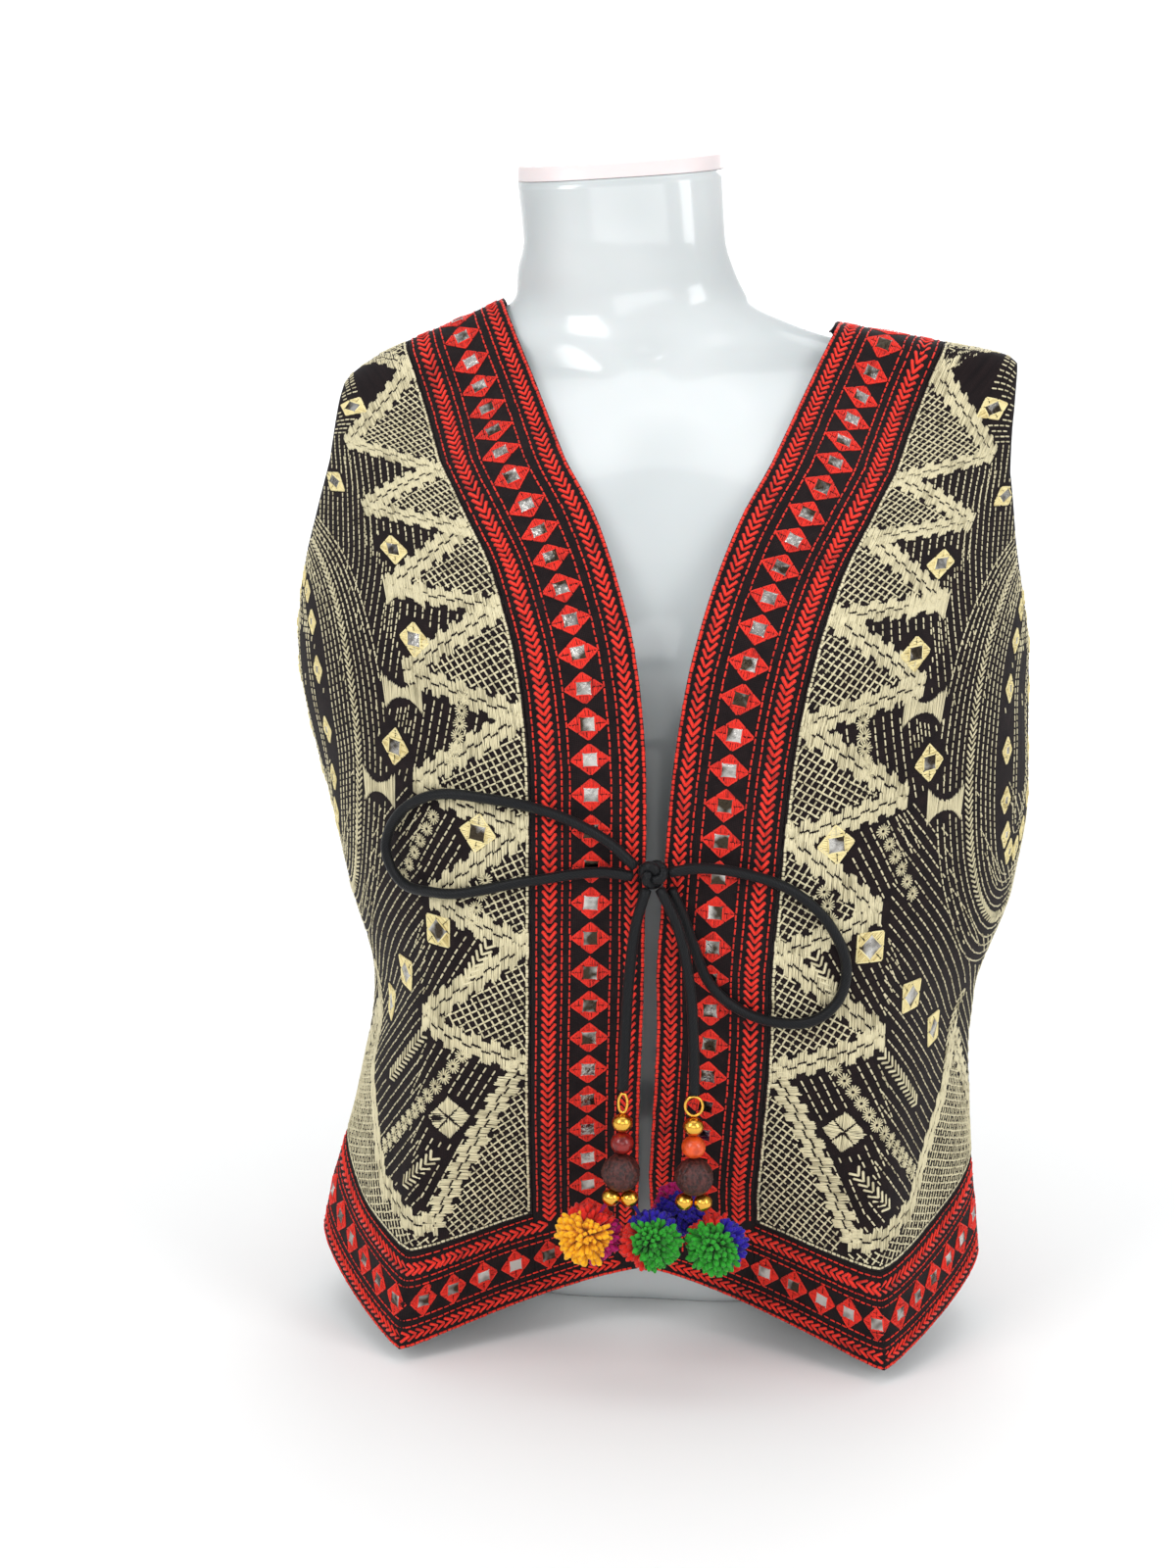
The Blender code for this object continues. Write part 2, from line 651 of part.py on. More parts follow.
END_LEFT = [
    Way(-2.5, 271.5, 0),
    Way(-6.5, 257, 0),
    Way(-10, 225, 0),
    Way(-11, 195, 0),
    Way(-11.5, 168, 0),
]
END_RIGHT = [
    Way(4.2, 272, 0),
    Way(13, 254, 0),
    Way(20, 225, 0),
    Way(23, 195, 0),
    Way(24, 167, 0),
]



def cloth_in_front(x, z):
    """The cloth's outer point and normal in the front view at x and z."""
    side = LEFT if x < cloth_skin.columns(np.array(z))[0] else RIGHT
    a = cloth_skin.place(side, np.array(z), x, 0.0, 2.0)
    return cloth_skin.point(side, np.array(z), a), cloth_skin.normal(side, np.array(z), a)


def on_cloth(way):
    """A route point's place in space, off the cloth along its normal."""
    point, normal = cloth_in_front(way.x * MM, way.z * MM)
    return point + normal * way.off * MM


def build_tie():
    """The bow: its knot, two loops and two free ends."""
    knot = on_cloth(KNOT)
    bm = bmesh.new()
    bmesh.ops.create_icosphere(bm, subdivisions=2, radius=1.0)
    bmesh.ops.scale(bm, vec=(8.2 * MM, 6.0 * MM, 8.0 * MM), verts=bm.verts)
    bmesh.ops.translate(bm, vec=Vector(knot), verts=bm.verts)
    add_object("tie_knot", mesh_from_bmesh("tie_knot", bm), BLACK_CORD, 0.35)
    for name, route in (("tie_loop_left", LOOP_LEFT), ("tie_loop_right", LOOP_RIGHT)):
        add_cord(name, smooth_route([on_cloth(w) for w in route], 12 * MM))
    for name, route in (("tie_end_left", END_LEFT), ("tie_end_right", END_RIGHT)):
        add_cord(name, smooth_route([(w.x * MM, END_Y * MM, w.z * MM) for w in route], 12 * MM))


# Beads on each free end, from the cord down: the middle and radius in mm, and height to width.
Bead = namedtuple("Bead", "name x y z radius squash")
BEADS = [
    Bead("bead_gold_left", -11.5, END_Y, 150.6, 5.2, 0.92),
    Bead("bead_red_left", -11.4, END_Y, 139.9, 5.9, 0.95),
    Bead("bead_small_left_a", -16.3, END_Y, 110.8, 4.7, 0.95),
    Bead("bead_small_left_b", -6.9, END_Y, 110.6, 4.7, 0.95),
    Bead("bead_gold_right", 24.2, END_Y, 150.1, 5.2, 0.92),
    Bead("bead_orange_right", 24.6, END_Y, 139.3, 6.1, 0.95),
    Bead("bead_small_right_a", 20.7, END_Y, 110.1, 4.7, 0.95),
    Bead("bead_small_right_b", 30.2, END_Y, 110.0, 4.7, 0.95),
]
SEEDS = [
    Bead("seed_left", -11.6, END_Y, 124.2, 10.0, 0.98),
    Bead("seed_right", 25.4, END_Y, 123.5, 10.0, 0.98),
]
SEED_RIBS, SEED_RIB_DEPTH = 7, 0.10
GOLD, DARK_RED = (0.75, 0.47, 0.10), (0.26, 0.02, 0.015)
ORANGE, SEED_BROWN = (0.72, 0.10, 0.015), (0.09, 0.025, 0.020)


def build_bead(bead, colour, metallic, ribs=0):
    """A round bead, or a seed whose sides swell in ribs."""
    bm = bmesh.new()
    around, levels = (21, 7) if ribs else (10, 6)
    bmesh.ops.create_uvsphere(bm, u_segments=around, v_segments=levels, radius=1.0)
    for vert in bm.verts:
        swell = 1.0
        if ribs:
            turn = math.atan2(vert.co.y, vert.co.x)
            fade = 1 - vert.co.z ** 2
            swell = 1 - SEED_RIB_DEPTH * fade * (0.5 - 0.5 * math.cos(ribs * turn))
        vert.co *= swell * bead.radius * MM
        vert.co.z *= bead.squash
    bmesh.ops.translate(bm, vec=(bead.x * MM, bead.y * MM, bead.z * MM), verts=bm.verts)
    return add_object(bead.name, mesh_from_bmesh(bead.name, bm), colour, 0.25, metallic)


def build_ends():
    """The clasps, beads and seeds on the two free ends."""
    for bead in BEADS:
        if "red" in bead.name:
            build_bead(bead, DARK_RED, 0.0)
        elif "orange" in bead.name:
            build_bead(bead, ORANGE, 0.0)
        else:
            build_bead(bead, GOLD, 1.0)
    for seed in SEEDS:
        build_bead(seed, SEED_BROWN, 0.0, SEED_RIBS)
    for name, x, low, high in (
        ("clasp_left", -11.5, 155.7, 167.6),
        ("clasp_right", 24.1, 155.2, 166.6),
    ):
        bm = bmesh.new()
        bmesh.ops.create_cone(
            bm, cap_ends=True, segments=14, radius1=3.4 * MM, radius2=2.6 * MM,
            depth=(high - low) * MM,
            matrix=Matrix.Translation((x * MM, END_Y * MM, (low + high) / 2 * MM)),
        )
        add_object(name, mesh_from_bmesh(name, bm), GOLD, 0.25, 1.0)


YELLOW, GREEN, BLUE = (0.80, 0.42, 0.02), (0.02, 0.22, 0.02), (0.03, 0.01, 0.30)
# Pompoms: the bead that carries it, its middle, the core's radius and the locks' length in mm,
# and how many locks stand on it.
Pompom = namedtuple("Pompom", "name bead x y z core lock locks colour")
POMPOMS = [
    Pompom("pompom_yellow", "bead_small_left_a", -27.8, -161, 90.0, 11.5, 5.4, 62, YELLOW),
    Pompom("pompom_green_left", "bead_small_left_b", 4.6, -164.5, 89.5, 11.2, 5.2, 62, GREEN),
    Pompom("pompom_blue", "bead_small_right_a", 19.0, -138.5, 97.0, 10.0, 4.6, 62, BLUE),
    Pompom("pompom_green_right", "bead_small_right_b", 37.3, -160.5, 87.0, 11.2, 5.2, 62, GREEN),
]
LOCK_TIP = 0.55
YARN_R = 1.3 * MM          # the yarn that a pompom hangs by


def build_pompom(pompom):
    """A wool pompom: three-sided locks on one round core, and the yarn that it hangs by."""
    middle = Vector((pompom.x, pompom.y, pompom.z)) * MM
    bead = next(b for b in BEADS if b.name == pompom.bead)
    way = Vector((bead.x, bead.y, bead.z)) * MM - middle
    end = way.normalized() * (way.length - bead.radius * MM - FACE_GAP)
    bm = bmesh.new()
    bmesh.ops.create_icosphere(bm, subdivisions=2, radius=pompom.core * MM)
    order = sorted(bm.faces, key=lambda f: -f.calc_center_median().dot(way))
    yarn = bmesh.ops.extrude_discrete_faces(bm, faces=order[:1])["faces"][0]
    foot = yarn.calc_center_median()
    for vert in yarn.verts:
        vert.co = end + (vert.co - foot).normalized() * YARN_R
    made = bmesh.ops.extrude_discrete_faces(bm, faces=order[7: 7 + pompom.locks])
    for number, face in enumerate(made["faces"]):
        root = face.calc_center_median()
        long = pompom.lock * (1 - 0.16 * (number * 7 % 5) / 4)
        for vert in face.verts:
            vert.co = root + (vert.co - root) * LOCK_TIP + root.normalized() * long * MM
    bmesh.ops.translate(bm, vec=middle, verts=bm.verts)
    return add_object(pompom.name, mesh_from_bmesh(pompom.name, bm), pompom.colour, 0.95, 0.0, False)


def main():
    wipe_scene()
    build_form()
    seams = {side: build_front(side) for side in SIDES}
    build_back(seams)
    build_back_neck_band(seams)
    build_tie()
    build_ends()
    for pompom in POMPOMS:
        build_pompom(pompom)


main()
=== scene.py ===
"""Visual model of an embroidered gilet that hangs on a limbless dress form.

Metres, +Z up, the front faces -Y. Every cloth piece is a thin wall on the same skin as its solid:
a point of the skin has a height z and a place a around the body, which is 0 at the middle of the
front, 1 on the fold under the bust, 2 on the side and shoulder seams and 4 on the spine.
"""

from __future__ import annotations

import logging
import math
from dataclasses import dataclass, field
from enum import Enum
from typing import Callable, Iterable, NamedTuple, Protocol, Sequence

import bmesh
import bpy
import numpy as np
from mathutils import Matrix, Vector

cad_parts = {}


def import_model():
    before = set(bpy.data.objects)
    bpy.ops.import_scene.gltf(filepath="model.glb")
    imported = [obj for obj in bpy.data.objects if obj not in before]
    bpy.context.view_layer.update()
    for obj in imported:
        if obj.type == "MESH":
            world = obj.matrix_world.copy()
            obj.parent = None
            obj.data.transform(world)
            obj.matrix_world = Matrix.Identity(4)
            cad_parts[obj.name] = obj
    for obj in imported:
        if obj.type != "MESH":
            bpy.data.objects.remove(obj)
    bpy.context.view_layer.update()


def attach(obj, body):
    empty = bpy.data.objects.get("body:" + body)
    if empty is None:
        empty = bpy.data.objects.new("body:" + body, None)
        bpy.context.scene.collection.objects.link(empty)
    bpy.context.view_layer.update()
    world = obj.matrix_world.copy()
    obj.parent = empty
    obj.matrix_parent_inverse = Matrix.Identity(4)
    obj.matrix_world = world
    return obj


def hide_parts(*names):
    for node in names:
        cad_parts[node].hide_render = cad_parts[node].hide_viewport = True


Array = np.ndarray
Material = bpy.types.Material
log = logging.getLogger("gilet")
MM = 0.001
LEFT, RIGHT = -1, 1
SIDES = {LEFT: "left", RIGHT: "right"}

WALL = 1.8 * MM            # cloth, backing and the stitching between them
SEAM = 0.2 * MM            # half of the gap at a seam
BORDER = 57.0              # width of the embroidered bands, in mm
ROW_FINE, COLUMN_FINE = 4, 4
NECK_TOP = 625 * MM


class Section(NamedTuple):
    """One horizontal section of a skin, in mm."""

    z: float
    shift: float
    front: float
    apex_x: float
    apex_y: float
    left: float
    right: float
    side_y: float
    back_x: float
    back_y: float
    spine: float
    crease: float


CLOTH = [
    Section(0, 0, -66, 129, -131, 190, 190, -48, 118, 76, 90, 0.85),
    Section(60, 0, -90, 124, -134, 181, 184, -37, 112, 73, 84, 0.75),
    Section(120, 2, -115, 118, -139, 168, 176, -24, 106, 68, 77, 0.60),
    Section(190, 4, -138, 108, -146, 160, 171, -10, 102, 66, 71, 0.40),
    Section(245, 2, -149, 102, -150, 172, 190, -2, 108, 71, 76, 0.20),
    Section(310, 0, -155, 95, -154, 186, 198, 6, 118, 79, 84, 0.05),
    Section(375, 0, -157, 90, -155, 197, 194, 12, 126, 87, 92, 0.0),
    Section(425, 0, -138, 95, -126, 196, 190, 14, 128, 90, 97, 0.0),
    Section(470, 0, -111, 102, -87, 191, 190, 15, 125, 84, 95, 0.0),
    Section(500, 0, -84, 104, -51, 186, 190, 14, 117, 72, 87, 0.0),
    Section(512, 0, -74, 102, -40, 180, 189.5, 13, 112, 66, 82, 0.0),
    Section(526, 0, -62, 97, -31, 163, 188.5, 12, 104, 59, 75, 0.0),
    Section(533, 0, -57, 91, -28, 149, 182, 12, 98, 55, 71, 0.0),
    Section(541, 0, -51, 82, -25, 131, 141, 11, 86, 51, 67, 0.0),
    Section(550, 0, -45, 70, -23, 111, 86, 11, 72, 47, 61, 0.0),
    Section(560, 0, -39, 58, -20, 90, 50, 10, 60, 44, 56, 0.0),
]
FORM = [
    Section(0, 0, -34, 62, -30, 112, 112, 8, 70, 44, 54, 0.0),
    Section(8, 0, -44, 72, -40, 126, 126, 8, 80, 52, 63, 0.0),
    Section(22, 0, -53, 80, -48, 136, 136, 8, 88, 58, 69, 0.0),
    Section(45, 0, -58, 84, -54, 142, 142, 8, 93, 61, 72, 0.0),
    Section(80, 0, -66, 86, -60, 146, 146, 8, 96, 64, 76, 0.0),
    Section(130, 0, -71, 84, -65, 139, 141, 8, 92, 61, 71, 0.0),
    Section(190, 0, -73, 79, -70, 124, 126, 8, 85, 56, 63, 0.0),
    Section(245, 0, -84, 79, -90, 129, 134, 8, 92, 62, 68, 0.0),
    Section(310, 0, -108, 80, -128, 150, 156, 9, 106, 72, 77, 0.0),
    Section(345, 0, -123, 81, -146.6, 169, 169, 11, 114, 80, 85, 0.0),
    Section(375, 0, -130, 82, -151.65, 181, 178, 13, 119, 84, 89, 0.0),
    Section(425, 0, -119, 90, -120, 187, 182, 14, 123, 86, 92.5, 0.0),
    Section(470, 0, -95, 98, -82, 185, 184, 15, 120, 80, 90, 0.0),
    Section(498, 0, -71, 100, -47, 180.5, 185, 14, 111, 67, 82, 0.0),
    Section(511, -1, -59, 97, -35, 172, 185, 13, 104, 60, 77, 0.0),
    Section(523.2, -4, -49, 86, -26, 149.5, 184, 12, 88, 51, 69, 0.0),
    Section(529.2, -6, -45, 79, -23, 136.5, 167, 12, 80, 48, 65, 0.0),
    Section(537.2, -9, -42, 71, -21, 116, 120, 13, 72, 45, 61, 0.0),
    Section(549.2, -15, -37.5, 57, -19.5, 84.5, 82, 14, 60, 43, 57, 0.0),
    Section(560, -21, -36, 47.5, -20.5, 65.5, 65, 15, 51, 43, 55, 0.0),
    Section(575, -24.5, -37, 43, -25, 61, 58, 16, 45, 46, 58, 0.0),
    Section(592, -26, -38, 41, -28, 56.5, 54, 17, 43, 48, 61, 0.0),
    Section(625, -30, -38, 41, -28, 56, 55, 18, 42, 50, 63, 0.0),
]


class Edge(NamedTuple):
    """Where the fronts' inner edges lie across the body at a height, in mm."""

    z: float
    left: float
    right: float


FRONT_EDGE = [
    Edge(0, -4.5, 4.5),
    Edge(68, -4, 3),
    Edge(133, -4.2, 0.2),
    Edge(220, -3.1, 2.9),
    Edge(273, -3.3, 5.4),
    Edge(323, -4.2, 8.2),
    Edge(372, -8.6, 14),
    Edge(395, -13, 18.8),
    Edge(422, -21.6, 26.6),
    Edge(450, -33, 37.5),
    Edge(477, -50.2, 52.5),
    Edge(505, -69, 69),
    Edge(525, -79.5, 79.5),
    Edge(550, -89.5, 87),
    Edge(560, -94.5, 89),
]


class Row(NamedTuple):
    """A cross row of the panels: grid steps since the row before, heights in mm, and the
    armhole's place around the body on the front and the back."""

    steps: int
    edge: float
    fold: float
    side: float
    spine: float
    front_a: float
    back_a: float


ROWS = [
    Row(0, 38, 8, 42, 36, 2.00, 2.00),
    Row(3, 92, 64, 98, 92, 2.00, 2.00),
    Row(5, 200, 198, 212, 208, 2.00, 2.00),
    Row(6, 372, 372, 370, 366, 2.00, 2.00),
    Row(2, 412, 409, 405, 397, 1.84, 2.12),
    Row(2, 447, 444, 440, 424, 1.73, 2.24),
    Row(2, 478, 475, 472, 450, 1.72, 2.30),
]
YOKE_STEPS, HEM_ROWS = 5, 3
BAND_COLUMNS, INNER_COLUMNS, OUTER_COLUMNS, NECK_COLUMNS = 3, 4, 5, 7
NECK_Z = {LEFT: 558.5, RIGHT: 549.5}
TIP_Z = {LEFT: 512, RIGHT: 530}
BACK_NECK_Z, BACK_BAND_Z = 531, 478
HEM = HEM_ROWS * ROW_FINE            # fine rows of the hem band
BAND = BAND_COLUMNS * COLUMN_FINE    # fine columns of the front band
FOLD_COLUMN = BAND + INNER_COLUMNS * COLUMN_FINE


class Fold(NamedTuple):
    """A soft fold between two places on the skin: heights, width and depth in mm.

    A trough has a negative depth.
    """

    side: int
    z0: float
    a0: float
    z1: float
    a1: float
    width: float
    depth: float


FOLDS = [
    Fold(LEFT, 150, 1.75, 240, 1.15, 16, -3.2),
    Fold(LEFT, 120, 1.70, 205, 1.20, 13, 2.4),
    Fold(LEFT, 235, 1.95, 330, 1.55, 15, -2.6),
    Fold(LEFT, 60, 1.45, 170, 1.42, 14, 2.2),
    Fold(LEFT, 96, 0.35, 30, 0.62, 17, -2.0),
    Fold(LEFT, 470, 1.62, 400, 1.40, 12, -1.8),
    Fold(LEFT, 505, 1.75, 455, 1.25, 13, 1.5),
    Fold(RIGHT, 140, 1.80, 225, 1.25, 15, -2.9),
    Fold(RIGHT, 175, 1.85, 262, 1.35, 14, 2.3),
    Fold(RIGHT, 70, 1.50, 160, 1.35, 16, -2.0),
    Fold(RIGHT, 300, 1.90, 385, 1.60, 14, -2.2),
    Fold(RIGHT, 92, 0.30, 34, 0.55, 16, -1.8),
    Fold(RIGHT, 500, 1.70, 430, 1.45, 12, -1.7),
    Fold(LEFT, 170, 2.35, 260, 3.10, 17, -2.8),
    Fold(LEFT, 120, 2.60, 215, 3.30, 14, 2.0),
    Fold(LEFT, 430, 2.60, 360, 3.20, 16, -1.8),
    Fold(RIGHT, 150, 2.30, 245, 2.95, 16, -3.0),
    Fold(RIGHT, 205, 2.40, 290, 3.20, 15, 1.9),
    Fold(RIGHT, 60, 3.00, 150, 2.80, 15, -1.7),
    Fold(RIGHT, 440, 2.70, 350, 3.10, 17, -1.6),
]


def monotone(xs: Sequence[float], ys: Sequence) -> Callable[[Array], Array]:
    """Makes a smooth function through points that never swings past them.

    Args:
        xs: Rising positions.
        ys: A value or a row of values for each position.

    Returns:
        A function of positions, with the values' columns on its last axis.
    """
    xs, ys = np.asarray(xs, float), np.asarray(ys, float)
    flat = ys.ndim == 1
    ys = ys[:, None] if flat else ys
    h = np.diff(xs)[:, None]
    d = np.diff(ys, axis=0) / h
    slope = np.zeros_like(ys)
    slope[0], slope[-1] = d[0], d[-1]
    same = d[:-1] * d[1:] > 0
    w1, w2 = 2 * h[1:] + h[:-1], h[1:] + 2 * h[:-1]
    safe0, safe1 = np.where(same, d[:-1], 1.0), np.where(same, d[1:], 1.0)
    slope[1:-1] = np.where(same, (w1 + w2) / (w1 / safe0 + w2 / safe1), 0.0)

    def at(x: Array) -> Array:
        """Reads the function at the positions x."""
        x = np.clip(np.asarray(x, float), xs[0], xs[-1])
        k = np.clip(np.searchsorted(xs, x, side="right") - 1, 0, len(xs) - 2)
        step = h[k, 0][..., None]
        t = (x - xs[k])[..., None] / step
        out = (
            ys[k] * (1 + 2 * t) * (1 - t) ** 2
            + ys[k + 1] * t * t * (3 - 2 * t)
            + step * (slope[k] * t * (1 - t) ** 2 - slope[k + 1] * t * t * (1 - t))
        )
        return out[..., 0] if flat else out

    return at


def pick(array: Array, index: Array) -> Array:
    """Takes the entries at an index of the axis before the last."""
    shape = index[..., None, None].repeat(array.shape[-1], -1)
    return np.take_along_axis(array, shape, axis=-2)[..., 0, :]


def unit(vectors: Array) -> Array:
    """Scales vectors to length one."""
    return vectors / np.maximum(np.linalg.norm(vectors, axis=-1), 1e-12)[..., None]


def reach(points: Array) -> Array:
    """Distance along a line of points, from its first."""
    return np.concatenate([[0], np.cumsum(np.linalg.norm(np.diff(points, axis=0), axis=1))])


class Skin:
    """A closed surface through horizontal sections of five points a side."""

    def __init__(self, sections: list[Section]) -> None:
        """Reads the sections' table."""
        rows = np.array([tuple(s) for s in sections], float)
        rows[:, :-1] *= MM
        self.columns = monotone(rows[:, 0], rows[:, 1:])

    def point(self, side: Array, z: Array, a: Array) -> Array:
        """Points of the skin.

        Args:
            side: -1 for the wearer's right, which is the viewer's left, or 1.
            z: Heights in metres.
            a: Places around the body, 0 to 4.

        Returns:
            Points, with x, y and z on the last axis.
        """
        side, z, a = np.broadcast_arrays(
            np.asarray(side, float), np.asarray(z, float), np.asarray(a, float)
        )
        v = np.moveaxis(self.columns(z), -1, 0)
        shift, front, apex_x, apex_y, left, right, side_y, back_x, back_y, spine, crease = v
        nil = np.zeros_like(front)
        xs = np.stack([nil, apex_x, np.where(side < 0, left, right), back_x, nil], -1)
        p = np.stack([xs, np.stack([front, apex_y, side_y, back_y, spine], -1)], -1)
        chord = np.linalg.norm(np.diff(p, axis=-2), axis=-1)
        way = np.diff(p, axis=-2) / chord[..., None]
        turn = np.empty_like(p)
        turn[..., 0, :] = (1, 0)
        turn[..., 4, :] = (-1, 0)
        turn[..., 1:4, :] = unit(
            way[..., :-1, :] * chord[..., 1:, None] + way[..., 1:, :] * chord[..., :-1, None]
        )
        ease = np.ones(p.shape[:-1])
        ease[..., 1] = 1 - crease
        ease[..., 2] = 1 - 0.8 * crease
        k = np.clip(np.floor(a).astype(int), 0, 3)
        t = (a - k)[..., None]
        long = pick(chord[..., None], k)
        m0 = pick(turn, k) * long * pick(ease[..., None], k)
        m1 = pick(turn, k + 1) * long * pick(ease[..., None], k + 1)
        xy = (
            pick(p, k) * (1 + 2 * t) * (1 - t) ** 2
            + pick(p, k + 1) * t * t * (3 - 2 * t)
            + m0 * t * (1 - t) ** 2
            - m1 * t * t * (1 - t)
        )
        return np.stack([shift + side * xy[..., 0], xy[..., 1], z], -1)

    def normal(self, side: Array, z: Array, a: Array) -> Array:
        """Unit normals that point away from the body, at places as in point."""
        side, z, a = np.broadcast_arrays(
            np.asarray(side, float), np.asarray(z, float), np.asarray(a, float)
        )
        low, high = np.clip(a - 0.01, 0, 4), np.clip(a + 0.01, 0, 4)
        along = self.point(side, z, high) - self.point(side, z, low)
        up = self.point(side, z + 0.5 * MM, a) - self.point(side, z - 0.5 * MM, a)
        return unit(np.cross(along, up) * side[..., None])

    def place(self, side: int, z: Array, x: Array, low: float, high: float) -> Array:
        """Finds the places between low and high where the sections at z have the width x."""
        z, x = np.asarray(z, float), np.asarray(x, float)
        low, high = np.full(z.shape, low), np.full(z.shape, high)
        rising = (self.point(side, z, high)[..., 0] - self.point(side, z, low)[..., 0]) * side > 0
        for _ in range(32):
            mid = (low + high) / 2
            more = ((self.point(side, z, mid)[..., 0] - x) * side < 0) == rising
            low, high = np.where(more, mid, low), np.where(more, high, mid)
        return (low + high) / 2


cloth_skin = Skin(CLOTH)
form_skin = Skin(FORM)


def folded(side: int, z: Array, a: Array) -> Array:
    """Points of the cloth's outer face, with its soft folds.

    Args:
        side: The side of the body.
        z: Heights in metres.
        a: Places around the body.

    Returns:
        Points on the folded cloth.
    """
    lift = np.zeros(np.broadcast(z, a).shape)
    here = np.stack(np.broadcast_arrays(z / MM, a * 100.0), -1)
    for fold in FOLDS:
        if fold.side != side:
            continue
        start, end = np.array([fold.z0, fold.a0 * 100]), np.array([fold.z1, fold.a1 * 100])
        way = end - start
        t = ((here - start) @ way) / (way @ way)
        off = np.linalg.norm(here - start - np.clip(t, 0, 1)[..., None] * way, axis=-1)
        fade = np.sin(np.pi * np.clip(t * 0.8 + 0.1, 0, 1)) ** 0.8
        lift += fold.depth * MM * fade * np.exp(-((off / fold.width) ** 2))
    ends = np.clip(np.minimum(a, 4 - a) / 0.15, 0, 1)
    return cloth_skin.point(side, z, a) + cloth_skin.normal(side, z, a) * (lift * ends)[..., None]


@dataclass
class Panel:
    """A grid on the cloth's outer face. Rows run up from the hem, columns run outward."""

    points: Array
    normals: Array

    def at(self, row: Array, column: Array) -> tuple[Array, Array]:
        """Points and unit normals at fractional rows and columns."""
        rows, columns = self.points.shape[:2]
        row = np.clip(np.asarray(row, float), 0, rows - 1.000001)
        column = np.clip(np.asarray(column, float), 0, columns - 1.000001)
        i, j = row.astype(int), column.astype(int)
        s, t = (row - i)[..., None], (column - j)[..., None]

        def mixed(grid: Array) -> Array:
            """Blends the four grid entries around each place."""
            low = grid[i, j] * (1 - t) + grid[i, j + 1] * t
            high = grid[i + 1, j] * (1 - t) + grid[i + 1, j + 1] * t
            return low * (1 - s) + high * s

        return mixed(self.points), unit(mixed(self.normals))

    def part(self, rows: slice, columns: slice) -> Panel:
        """The panel between some rows and columns."""
        return Panel(self.points[rows, columns], self.normals[rows, columns])

    def across(self) -> Panel:
        """The same panel with its rows and columns exchanged."""
        return Panel(self.points.transpose(1, 0, 2), self.normals.transpose(1, 0, 2))


def panel_of(side: int, z: Array, a: Array) -> Panel:
    """The folded cloth at heights and places, with normals taken from its own shape."""
    step_a, step_z = 0.012, 0.8 * MM
    along = folded(side, z, np.minimum(a + step_a, 4)) - folded(side, z, np.maximum(a - step_a, 0))
    up = folded(side, z + step_z, a) - folded(side, z - step_z, a)
    return Panel(folded(side, z, a), unit(np.cross(along, up) * side))


